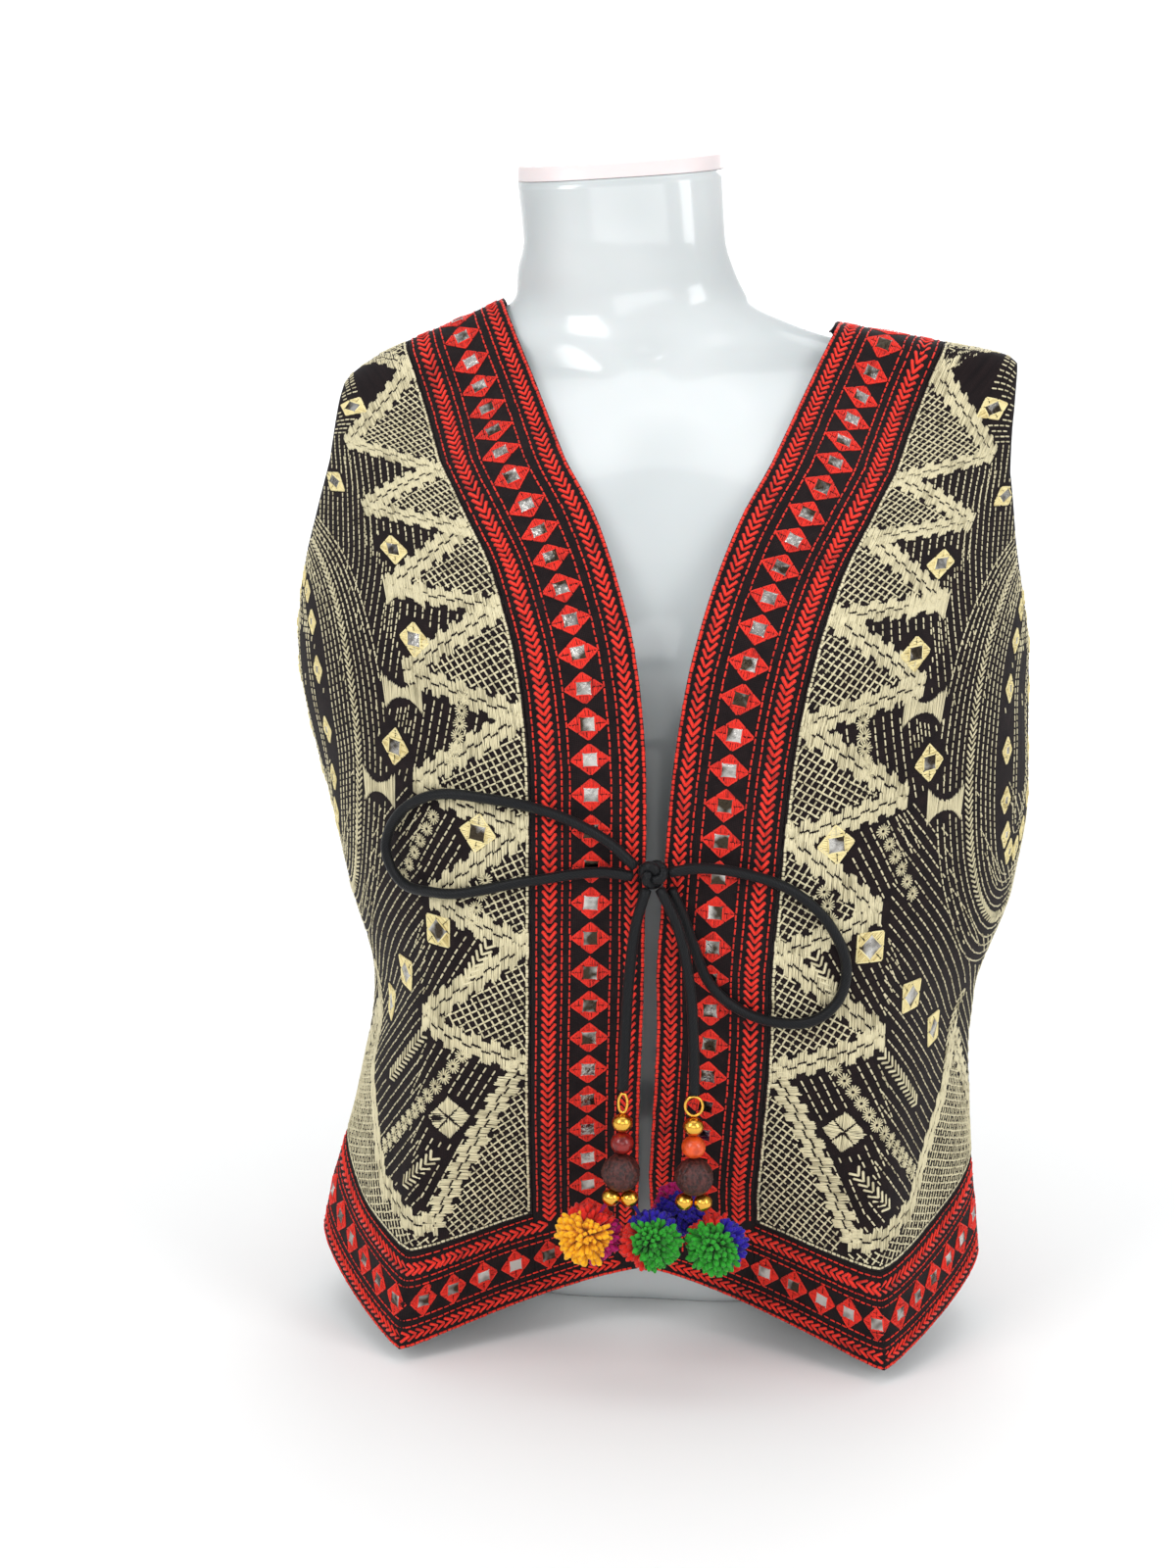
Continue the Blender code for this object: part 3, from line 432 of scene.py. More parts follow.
@dataclass
class Cut:
    """The grids that the gilet's pieces are cut from, at a finer step than the solids'."""

    fronts: dict[int, Panel] = field(default_factory=dict)
    backs: dict[int, Panel] = field(default_factory=dict)
    necks: dict[int, Panel] = field(default_factory=dict)

    def draw(self) -> None:
        """Works out every grid."""
        for side in SIDES:
            z, a, top_z = self.front_grid(side)
            self.fronts[side] = panel_of(side, z, a)
            z, a = self.back_grid(side, top_z[BAND:])
            self.backs[side] = panel_of(side, z, a)
            self.necks[side] = self.neck_grid(side, top_z[BAND])

    def row_values(self) -> Array:
        """Heights and armhole places, one line for each fine row below the yoke."""
        at = np.cumsum([r.steps for r in ROWS])
        values = np.array([tuple(r)[1:] for r in ROWS], float)
        values[:, :4] *= MM
        return monotone(at, values)(np.linspace(0, at[-1], at[-1] * ROW_FINE + 1))

    def edge_x(self, side: int, z: Array) -> Array:
        """Where the front's inner edge lies at height z."""
        rows = np.array([tuple(e) for e in FRONT_EDGE], float) * MM
        return monotone(rows[:, 0], rows[:, 1 if side == LEFT else 2])(z)

    def seam_line(self, side: int) -> tuple[Array, Array]:
        """Heights and points of the shoulder seam, from the neck to the tip."""
        z = np.linspace(NECK_Z[side], TIP_Z[side], 160) * MM
        return z, cloth_skin.point(side, z, np.full(160, 2.0))

    def column_reach(self, total: float, band: float, fold: float) -> Array:
        """Distances of a row's columns from the edge: the band, up to the fold and beyond."""
        inner = np.clip((fold - band) / (total - band), 0.30, 0.62)
        fold_at = band + inner * (total - band)
        fine = COLUMN_FINE
        return np.concatenate([
            np.linspace(0, band, BAND_COLUMNS * fine + 1)[:-1],
            np.linspace(band, fold_at, INNER_COLUMNS * fine + 1)[:-1],
            np.linspace(fold_at, total, OUTER_COLUMNS * fine + 1),
        ])

    def front_grid(self, side: int) -> tuple[Array, Array, Array]:
        """Heights and places of the front panel's grid, and heights of its top row."""
        values = self.row_values()
        z = np.linspace(values[0, 0], NECK_Z[side] * MM, 400)
        edge = cloth_skin.point(side, z, cloth_skin.place(side, z, self.edge_x(side, z), 0.0, 2.0))
        heights, places = [], []
        for edge_z, fold_z, side_z, _, front_a, _ in values:
            start = cloth_skin.place(side, edge_z, self.edge_x(side, edge_z), 0.0, 2.0)
            a = np.linspace(start, front_a, 240)
            if start < 0.9:
                z = monotone([start, 1.0, front_a], [edge_z, fold_z, side_z])(a)
            else:
                z = edge_z + (side_z - edge_z) * (a - start) / (front_a - start)
            points = cloth_skin.point(side, z, a)
            way = reach(points)
            far = np.linalg.norm(points[:, None] - edge[None], axis=2).min(1)
            stop = int(np.argmax(far >= BORDER * MM))
            band = np.interp(BORDER * MM, far[stop - 1: stop + 1], way[stop - 1: stop + 1])
            columns = self.column_reach(way[-1], band, np.interp(1.0, a, way))
            heights.append(np.interp(columns, way, z))
            places.append(np.interp(columns, way, a))
        seam_z, seam = self.seam_line(side)
        way = reach(seam)
        columns = self.column_reach(way[-1], BORDER * MM, 0.0)
        top_z = np.interp(columns, way, seam_z)
        self.climb(side, heights, places, top_z, np.full(len(columns), 2.0), 0.0, 2.0)
        return np.array(heights), np.array(places), top_z

    def climb(
        self, side: int, heights: list, places: list, top_z: Array, top_a: Array,
        low: float, high: float,
    ) -> None:
        """Adds the yoke's rows up to the top, evenly spaced on the cloth.

        Args:
            side: The side of the body.
            heights: Rows of heights so far, which grow by the yoke's.
            places: Rows of places so far, which grow by the yoke's.
            top_z: Heights of the top row.
            top_a: Places of the top row.
            low: Lowest place that a row may take.
            high: Highest place that a row may take.
        """
        base_z, base_a = heights[-1], places[-1]
        base_x = cloth_skin.point(side, base_z, base_a)[:, 0]
        top_x = cloth_skin.point(side, top_z, top_a)[:, 0]
        f = np.linspace(0, 1, 50)[:, None]
        z = base_z + (top_z - base_z) * f
        a = cloth_skin.place(side, z, base_x + (top_x - base_x) * f, low, high)
        a[0], a[-1] = base_a, top_a
        points = cloth_skin.point(side, z, a)
        even = np.linspace(0, 1, YOKE_STEPS * ROW_FINE + 1)[1:]
        ways = [reach(points[:, k]) for k in range(len(base_z))]
        heights.extend(np.array([np.interp(even * w[-1], w, z[:, k]) for k, w in enumerate(ways)]).T)
        places.extend(np.array([np.interp(even * w[-1], w, a[:, k]) for k, w in enumerate(ways)]).T)

    def neckline(self, side: int, low_z: float, end_z: float, count: int) -> tuple[Array, Array]:
        """Heights and places of a neckline on the back, from the spine to the shoulder."""
        end_x = cloth_skin.point(side, np.array(end_z), np.array(2.0))[0]
        turn = np.linspace(0, math.pi / 2, 120)
        z = low_z + (end_z - low_z) * (1 - np.cos(turn)) ** 1.3
        a = cloth_skin.place(side, z, end_x * np.sin(turn), 2.0, 4.0)
        a[-1] = 2.0
        way = reach(cloth_skin.point(side, z, a))
        even = np.linspace(0, way[-1], count)
        return np.interp(even, way, z), np.interp(even, way, a)

    def back_grid(self, side: int, seam_z: Array) -> tuple[Array, Array]:
        """Heights and places of half of the back, hem to shoulder and spine to side."""
        count = NECK_COLUMNS * COLUMN_FINE + 1
        top_z, top_a = self.neckline(side, BACK_BAND_Z * MM, seam_z[0], count)
        top_z = np.concatenate([top_z[:-1], seam_z])
        top_a = np.concatenate([top_a[:-1], np.full(len(seam_z), 2.0)])
        share = reach(cloth_skin.point(side, top_z, top_a))
        share = share[:count] / share[-1]
        heights, places = [], []
        for _, _, side_z, spine_z, _, back_a in self.row_values():
            a = np.linspace(4.0, back_a, 240)
            z = spine_z + (side_z - spine_z) * (4.0 - a) / (4.0 - back_a)
            way = reach(cloth_skin.point(side, z, a))
            columns = way[-1] * np.concatenate([
                share[:-1],
                np.linspace(share[-1], 1, len(seam_z)),
            ])
            heights.append(np.interp(columns, way, z))
            places.append(np.interp(columns, way, a))
        self.climb(side, heights, places, top_z, top_a, 2.0, 4.0)
        return np.array(heights), np.array(places)

    def neck_grid(self, side: int, seam_z: float) -> Panel:
        """Half of the back neck band, from its lower edge to the neckline."""
        count = NECK_COLUMNS * COLUMN_FINE + 1
        neck_z, neck_a = self.neckline(side, BACK_NECK_Z * MM, NECK_Z[side] * MM, count)
        low_z, low_a = self.neckline(side, BACK_BAND_Z * MM, seam_z, count)
        neck_x = cloth_skin.point(side, neck_z, neck_a)[:, 0]
        low_x = cloth_skin.point(side, low_z, low_a)[:, 0]
        f = np.linspace(0, 1, BAND + 1)[:, None]
        z = low_z + (neck_z - low_z) * f
        a = cloth_skin.place(side, z, low_x + (neck_x - low_x) * f, 2.0, 4.0)
        a[:, -1] = 2.0
        line_z, line = self.seam_line(side)
        z[:, -1] = np.interp(np.linspace(BORDER * MM, 0, BAND + 1), reach(line), line_z)
        return panel_of(side, z, a)


def linear(code: str) -> tuple[float, float, float, float]:
    """Turns an sRGB hex colour to linear red, green, blue and alpha."""
    values = [int(code[k: k + 2], 16) / 255 for k in (1, 3, 5)]
    flat = [v / 12.92 if v <= 0.04045 else ((v + 0.055) / 1.055) ** 2.4 for v in values]
    return flat[0], flat[1], flat[2], 1.0


def add_node(
    tree: bpy.types.NodeTree, kind: str, settings: dict | None = None, **links: object,
) -> bpy.types.Node:
    """Adds a node with its settings and links.

    Args:
        tree: The node tree.
        kind: The node's type name.
        settings: Properties by name, and values of inputs by "in:" and the input's name or index.
        links: Sockets to link, by the input's name with spaces as underscores, or as i0, i1.

    Returns:
        The node.
    """
    node = tree.nodes.new(kind)
    for name, value in (settings or {}).items():
        if name.startswith("in:"):
            key = name[3:]
            node.inputs[int(key) if key.isdigit() else key].default_value = value
        else:
            setattr(node, name, value)
    for name, socket in links.items():
        key = int(name[1:]) if name[0] == "i" and name[1:].isdigit() else name.replace("_", " ")
        tree.links.new(socket, node.inputs[key])
    return node


@dataclass(frozen=True)
class Finish:
    """What every finish shares: its name, its base colour and its roughness."""

    name: str
    colour: str
    roughness: float

    def start(self, **inputs: float) -> tuple[bpy.types.NodeTree, bpy.types.Node]:
        """Makes the material.

        Args:
            inputs: Values of the shader's inputs, by their names with underscores for spaces.

        Returns:
            Its node tree and its shader.
        """
        made = bpy.data.materials.new(self.name)
        made.use_nodes = True
        made.diffuse_color = linear(self.colour)
        shader = made.node_tree.nodes["Principled BSDF"]
        shader.inputs["Base Color"].default_value = linear(self.colour)
        shader.inputs["Roughness"].default_value = self.roughness
        for name, value in inputs.items():
            shader.inputs[name.replace("_", " ")].default_value = value
        return made.node_tree, shader

    def dress(
        self, shader: bpy.types.Node, colour: bpy.types.Node, relief: bpy.types.NodeSocket,
        strength: float, distance: float,
    ) -> Material:
        """Gives the shader its colour and its relief.

        Args:
            shader: The shader.
            colour: The node that gives the colour.
            relief: The height that the bump follows.
            strength: Strength of the bump.
            distance: Height of the bump in metres.

        Returns:
            The material.
        """
        tree = shader.id_data
        bump = add_node(tree, "ShaderNodeBump", {"in:Strength": strength, "in:Distance": distance},
                        Height=relief)
        tree.links.new(colour.outputs["Color"], shader.inputs["Base Color"])
        tree.links.new(bump.outputs["Normal"], shader.inputs["Normal"])
        return bpy.data.materials[self.name]

    def make(self) -> Material:
        """Makes the material."""
        self.start()
        return bpy.data.materials[self.name]


def two_tones(
    factor: bpy.types.NodeSocket, low: str, high: str, start: float = 0.0, end: float = 1.0,
) -> bpy.types.Node:
    """A colour that runs from one tone to another.

    Args:
        factor: What it runs with.
        low: The first tone's hex colour.
        high: The second tone's.
        start: The factor up to which the first tone holds.
        end: The factor from which the second holds.

    Returns:
        The node that gives the colour.
    """
    ramp = add_node(factor.id_data, "ShaderNodeValToRGB", {}, Fac=factor)
    for stop, tone, place in zip(ramp.color_ramp.elements, (low, high), (start, end)):
        stop.color, stop.position = linear(tone), place
    return ramp


@dataclass(frozen=True)
class PlainWeaveCotton(Finish):
    """Plain-woven cotton: crossing yarns, matt, with a faint nap along the edges of the light."""

    thread_mm: float = 0.9      # real yarn is about 0.35 mm; coarser so that it shows
    slub: str = "#2A1E1E"

    def make(self) -> Material:
        """Makes the cotton on the piece's own UV map, which is in metres."""
        tree, shader = self.start(Sheen_Weight=0.03, Sheen_Roughness=0.5, Specular_IOR_Level=0.15)
        place = add_node(tree, "ShaderNodeUVMap", {"uv_map": "cloth"})
        turns = math.pi * 2 / (self.thread_mm * MM) / 20
        warp = add_node(tree, "ShaderNodeTexWave", {
            "bands_direction": "X", "in:Scale": turns, "in:Distortion": 0.6,
        }, Vector=place.outputs["UV"])
        weft = add_node(tree, "ShaderNodeTexWave", {
            "bands_direction": "Y", "in:Scale": turns, "in:Distortion": 0.6,
        }, Vector=place.outputs["UV"])
        both = add_node(tree, "ShaderNodeMath", {"operation": "MAXIMUM"},
                        i0=warp.outputs["Fac"], i1=weft.outputs["Fac"])
        cloud = add_node(tree, "ShaderNodeTexNoise", {"in:Scale": 140.0, "in:Detail": 4.0},
                         Vector=place.outputs["UV"])
        mixed = add_node(tree, "ShaderNodeMath", {"operation": "MULTIPLY"},
                         i0=both.outputs[0], i1=cloud.outputs["Fac"])
        ramp = two_tones(mixed.outputs[0], self.colour, self.slub, 0.25, 0.85)
        return self.dress(shader, ramp, both.outputs[0], 0.35, 0.0003)


@dataclass(frozen=True)
class StrandedThread(Finish):
    """Twisted embroidery thread: each stitch a little lighter or darker, soft gloss along it."""

    shade: str = "#8C8458"
    sheen: float = 0.06

    def make(self) -> Material:
        """Makes the thread, with its tone read from each stitch's own number."""
        tree, shader = self.start(Sheen_Weight=self.sheen, Specular_IOR_Level=0.25)
        tone = add_node(tree, "ShaderNodeAttribute", {"attribute_name": "tone"})
        place = add_node(tree, "ShaderNodeTexCoord")
        wear = add_node(tree, "ShaderNodeTexNoise", {"in:Scale": 60.0, "in:Detail": 3.0},
                        Vector=place.outputs["Object"])
        mixed = add_node(tree, "ShaderNodeMath", {"operation": "MULTIPLY_ADD", "in:1": 0.55},
                         i0=tone.outputs["Fac"], i2=wear.outputs["Fac"])
        ramp = two_tones(mixed.outputs[0], self.shade, self.colour, 0.3, 0.8)
        fibre = add_node(tree, "ShaderNodeTexNoise", {"in:Scale": 2600.0, "in:Detail": 2.0},
                         Vector=place.outputs["Object"])
        return self.dress(shader, ramp, fibre.outputs["Fac"], 0.3, 0.0002)


@dataclass(frozen=True)
class MirrorFoil(Finish):
    """Silvered foil on a stiff backing: bright, crinkled, with dull, darker patches laid by noise."""

    dull: str = "#5A5344"

    def make(self) -> Material:
        """Makes the foil on Object coordinates, with crinkles about 2 mm apart."""
        tree, shader = self.start(Metallic=1.0)
        place = add_node(tree, "ShaderNodeTexCoord")
        crinkle = add_node(tree, "ShaderNodeTexNoise", {
            "in:Scale": 420.0, "in:Detail": 3.0, "in:Distortion": 0.8,
        }, Vector=place.outputs["Object"])
        patch = add_node(tree, "ShaderNodeTexNoise", {"in:Scale": 90.0, "in:Detail": 2.0},
                         Vector=place.outputs["Object"])
        ramp = two_tones(patch.outputs["Fac"], self.dull, self.colour, 0.42, 0.6)
        return self.dress(shader, ramp, crinkle.outputs["Fac"], 0.9, 0.0006)


@dataclass(frozen=True)
class MouldedPlastic(Finish):
    """Blow-moulded glossy plastic: smooth and pale, with a broad, slightly wavy shine and broad blotches of
    painted shade in its colour.
    """

    # the darker colour of the painted shade blotches
    shade: str = "#B9BEBE"
    coat: float = 0.4

    def make(self) -> Material:
        """Makes the plastic, with waves about 60 mm long that bend its highlights."""
        tree, shader = self.start(
            Coat_Weight=self.coat, Coat_Roughness=0.08,
            Subsurface_Weight=0.06, Subsurface_Scale=0.01,
        )
        place = add_node(tree, "ShaderNodeTexCoord")
        cloud = add_node(tree, "ShaderNodeTexNoise", {"in:Scale": 7.0, "in:Detail": 2.0},
                         Vector=place.outputs["Object"])
        # painted shade: broad noise blotches mix the darker shade colour into the plastic's pale colour
        ramp = two_tones(cloud.outputs["Fac"], self.shade, self.colour, 0.25, 0.6)
        wave = add_node(tree, "ShaderNodeTexNoise", {"in:Scale": 16.0, "in:Detail": 0.0},
                        Vector=place.outputs["Object"])
        return self.dress(shader, ramp, wave.outputs["Fac"], 0.12, 0.01)


@dataclass(frozen=True)
class SatinCordCloth(Finish):
    """Satin bias cloth rolled round a core: black, fine diagonal ribs, a soft bright line."""

    rib_mm: float = 1.1

    def make(self) -> Material:
        """Makes the satin on the cord's UV map, round it and along it in metres."""
        tree, shader = self.start(Sheen_Weight=0.04, Specular_IOR_Level=0.22)
        place = add_node(tree, "ShaderNodeUVMap", {"uv_map": "cord"})
        turn = add_node(tree, "ShaderNodeMapping", {"in:Rotation": (0, 0, math.radians(38))},
                        Vector=place.outputs["UV"])
        rib = add_node(tree, "ShaderNodeTexWave", {
            "bands_direction": "X", "in:Scale": math.pi * 2 / (self.rib_mm * MM) / 20,
            "in:Distortion": 1.2, "in:Detail": 2.0,
        }, Vector=turn.outputs["Vector"])
        ramp = two_tones(rib.outputs["Fac"], self.colour, "#0B0D11")
        return self.dress(shader, ramp, rib.outputs["Fac"], 0.4, 0.0003)


@dataclass(frozen=True)
class GiltMetal(Finish):
    """Gilt pressed metal: warm polished gold with faint scratches."""

    def make(self) -> Material:
        """Makes the gilt, with scratches under a millimetre apart."""
        tree, shader = self.start(Metallic=1.0)
        place = add_node(tree, "ShaderNodeTexCoord")
        scratch = add_node(tree, "ShaderNodeTexNoise", {"in:Scale": 900.0, "in:Detail": 2.0},
                           Vector=place.outputs["Object"])
        rough = add_node(tree, "ShaderNodeMapRange", {"in:To Min": 0.12, "in:To Max": 0.32},
                         Value=scratch.outputs["Fac"])
        tree.links.new(rough.outputs["Result"], shader.inputs["Roughness"])
        return bpy.data.materials[self.name]


@dataclass(frozen=True)
class MottledBead(Finish):
    """A moulded or carved bead: glossy, its own colour clouded, and darker in its pits by painted shade."""

    # the dark colour of the painted shade in the pits
    shade: str = "#4A1410"
    grain_mm: float = 3.0
    relief: float = 0.2

    def make(self) -> Material:
        """Makes the bead on Object coordinates, with clouds of the grain's size."""
        tree, shader = self.start()
        place = add_node(tree, "ShaderNodeTexCoord")
        cloud = add_node(tree, "ShaderNodeTexNoise", {
            "in:Scale": 1000.0 / self.grain_mm, "in:Detail": 3.0,
        }, Vector=place.outputs["Object"])
        # the noise that sinks the pits also darkens them: painted shade in the pits, over the bead's own
        # clouding
        ramp = two_tones(cloud.outputs["Fac"], self.shade, self.colour, 0.35, 0.62)
        return self.dress(shader, ramp, cloud.outputs["Fac"], self.relief, 0.0006)


BLACK_COTTON = PlainWeaveCotton("black_cotton_ground", "#120C0E", 0.85)
NAVY_LINING = PlainWeaveCotton("navy_cotton_lining", "#0B0E1C", 0.7, slub="#151A2E")
BEIGE_THREAD = StrandedThread("beige_cotton_thread", "#DED4B0", 0.5, shade="#9E9474")
RED_THREAD = StrandedThread("red_cotton_thread", "#EA3020", 0.5, shade="#A81812")
CREAM_THREAD = StrandedThread("cream_rayon_thread", "#F3E4AA", 0.42, shade="#C8B273")
SILVER_FOIL = MirrorFoil("silvered_mirror_foil", "#C9C6C0", 0.16, dull="#40382E")
# shade: the colour of each plastic's painted shade blotches
PALE_PLASTIC = MouldedPlastic("pale_moulded_plastic", "#D2D6D6", 0.17, shade="#A9B0B1")
CAP_PLASTIC = MouldedPlastic("pinkish_cap_plastic", "#E9DDDC", 0.4, shade="#DCCFCE", coat=0.1)
BLACK_SATIN = SatinCordCloth("black_satin_cord", "#020304", 0.42)
GILT = GiltMetal("gilt_pressed_metal", "#E8B24A", 0.2)
# shade: the colour of the painted shade in each bead's pits
RED_LACQUER = MottledBead("dark_red_lacquer", "#8A1A15", 0.2, shade="#520C09", grain_mm=6.0)
ORANGE_RESIN = MottledBead("orange_moulded_resin", "#E4541C", 0.28, shade="#B23A12", grain_mm=5.0)
CARVED_SEED = MottledBead("carved_brown_seed", "#54231D", 0.5, shade="#1C0907", grain_mm=1.6, relief=0.9)


class Wool(Enum):
    """Pompom wools, with the colour of their tips and of their shaded roots."""

    YELLOW = ("#F6B21C", "#C07008")
    RED = ("#D8251A", "#7C0E0A")
    MAGENTA = ("#B5126A", "#5E0634")
    GREEN = ("#2C9A2A", "#0D4410")
    BLUE = ("#2A1A9C", "#0C0844")

    def make(self) -> Material:
        """Makes the brushed wool yarn: matt and fuzzy, no two strands quite the same."""
        tip, root = self.value
        name = self.name.lower() + "_wool_yarn"
        found = bpy.data.materials.get(name)
        return found or StrandedThread(name, tip, 0.9, shade=root, sheen=0.15).make()


def add_object(name: str, mesh: bpy.types.Mesh, materials: Iterable[Material]) -> bpy.types.Object:
    """Links a mesh to the scene with its materials."""
    obj = bpy.data.objects.new(name, mesh)
    bpy.context.scene.collection.objects.link(obj)
    for material in materials:
        mesh.materials.append(material)
    return obj


def mesh_of(name: str, points: Array, faces: list, smooth: bool = True) -> bpy.types.Mesh:
    """A mesh from points and faces."""
    mesh = bpy.data.meshes.new(name)
    mesh.from_pydata([tuple(map(float, p)) for p in points], [], faces)
    mesh.polygons.foreach_set("use_smooth", [smooth] * len(mesh.polygons))
    mesh.update()
    return mesh


def faced_out(mesh: bpy.types.Mesh) -> bpy.types.Mesh:
    """Turns a closed mesh's faces outward."""
    bm = bmesh.new()
    bm.from_mesh(mesh)
    bmesh.ops.recalc_face_normals(bm, faces=bm.faces)
    bm.to_mesh(mesh)
    bm.free()
    return mesh


def cloth_wall(name: str, panel: Panel, drawn: str = "") -> bpy.types.Object:
    """A closed cloth wall, black cotton outside and navy lining inside.

    Args:
        name: The piece's name.
        panel: Its outer face.
        drawn: The edges that are drawn in for a seam: b, t, l and r for bottom, top, first
            column and last column.

    Returns:
        The piece.
    """
    grid = panel.points.copy()
    for key, edge, beyond in (
        ("b", (0, slice(None)), (1, slice(None))),
        ("t", (-1, slice(None)), (-2, slice(None))),
        ("l", (slice(None), 0), (slice(None), 1)),
        ("r", (slice(None), -1), (slice(None), -2)),
    ):
        if key in drawn:
            grid[edge] += SEAM * unit(grid[beyond] - grid[edge])
    rows, columns = grid.shape[:2]
    inner = grid - WALL * panel.normals
    points = np.concatenate([grid.reshape(-1, 3), inner.reshape(-1, 3)])
    count = rows * columns
    index = np.arange(count).reshape(rows, columns)
    a, b, c, d = index[:-1, :-1], index[:-1, 1:], index[1:, 1:], index[1:, :-1]
    quads = np.stack([a, b, c, d], -1).reshape(-1, 4)
    outside = quads.tolist()
    inside = (quads[:, ::-1] + count).tolist()
    rim = np.concatenate([index[0, :], index[1:, -1], index[-1, -2::-1], index[-2:0:-1, 0]])
    after = np.roll(rim, -1)
    edge_faces = np.stack([rim, rim + count, after + count, after], -1).tolist()
    mesh = mesh_of(name, points, outside + inside + edge_faces)
    slots = [0] * len(outside) + [1] * len(inside) + [0] * len(edge_faces)
    mesh.polygons.foreach_set("material_index", slots)
    up = np.zeros((rows, columns))
    along = np.zeros((rows, columns))
    up[1:] = np.cumsum(np.linalg.norm(np.diff(grid, axis=0), axis=-1), axis=0)
    along[:, 1:] = np.cumsum(np.linalg.norm(np.diff(grid, axis=1), axis=-1), axis=1)
    flat = np.stack([along, up], -1).reshape(-1, 2)
    layer = mesh.uv_layers.new(name="cloth")
    loops = np.zeros(len(mesh.loops), int)
    mesh.loops.foreach_get("vertex_index", loops)
    layer.data.foreach_set("uv", flat[loops % count].ravel())
    faced_out(mesh)
    return add_object(name, mesh, [bpy.data.materials[cotton.name] for cotton in (BLACK_COTTON, NAVY_LINING)])


def ring_faces(rings: int, around: int) -> list[tuple[int, ...]]:
    """Faces through rings of points, with a fan at each end to one more point.

    Args:
        rings: How many rings there are.
        around: Points in each ring.

    Returns:
        The faces. The two fans' middles are the points after the rings, the first ring's first.
    """
    steps = [(j, (j + 1) % around) for j in range(around)]
    faces = [(i + j, i + k, i + around + k, i + around + j)
             for i in range(0, (rings - 1) * around, around) for j, k in steps]
    first, last = rings * around, (rings - 1) * around
    for j, k in steps:
        faces += [(first, k, j), (first + 1, last + j, last + k)]
    return faces


def tube(
    name: str, path: Array, radius: float, material: Material, around: int = 14,
) -> bpy.types.Object:
    """A closed round tube along a path, with a UV map in metres round it and along it.

    Args:
        name: The piece's name.
        path: Points of its middle.
        radius: Its radius.
        material: Its finish.
        around: Points round it.

    Returns:
        The piece.
    """
    ways = unit(np.gradient(path, axis=0))
    side = unit(np.cross(ways[0], (0, 1, 0.1)))
    rings, turn = [], np.linspace(0, 2 * np.pi, around, endpoint=False)
    for p, way in zip(path, ways):
        side = unit(side - way * (side @ way))
        up = np.cross(way, side)
        rings.append(p + radius * (np.cos(turn)[:, None] * side + np.sin(turn)[:, None] * up))
    dome = radius * 0.35
    points = np.concatenate([*rings, path[:1] - ways[:1] * dome, path[-1:] + ways[-1:] * dome])
    n = len(path)
    mesh = mesh_of(name, points, ring_faces(n, around))
    along = reach(path)
    layer = mesh.uv_layers.new(name="cord")
    girth = 2 * np.pi * radius
    for poly in mesh.polygons:
        lap = [v % around for v in poly.vertices if v < n * around]
        wrap = bool(lap) and max(lap) - min(lap) > 1
        for loop in poly.loop_indices:
            v = mesh.loops[loop].vertex_index
            i, j = divmod(v, around) if v < n * around else (0 if v == n * around else n - 1, 0)
            share = 1.0 if wrap and j == 0 else j / around
            layer.data[loop].uv = (share * girth, along[i])
    return add_object(name, faced_out(mesh), [material])


def lathe(
    name: str, centre: Array, profile: Array, material: Material, around: int = 28,
    swell: Callable[[float, float], float] = lambda turn, share: 1.0,
) -> bpy.types.Object:
    """A closed body turned about a vertical line through its centre.

    Args:
        name: The piece's name.
        centre: Its middle.
        profile: Radius and height of each ring from bottom to top, with radius 0 at both ends.
        material: Its finish.
        around: Points round it.
        swell: Factor on the radius by angle and share of the height.

    Returns:
        The piece.
    """
    turn = np.linspace(0, 2 * np.pi, around, endpoint=False)
    points, low, high = [], profile[0][1], profile[-1][1]
    for radius, height in profile[1:-1]:
        share = (height - low) / (high - low)
        scale = np.array([swell(t, share) for t in turn])
        points.append(np.stack([radius * scale * np.cos(turn), radius * scale * np.sin(turn),
                                np.full(around, height)], -1))
    faces = ring_faces(len(points), around)
    points = np.concatenate(points + [[(0, 0, low)], [(0, 0, high)]]) + centre
    return add_object(name, faced_out(mesh_of(name, points, faces)), [material])


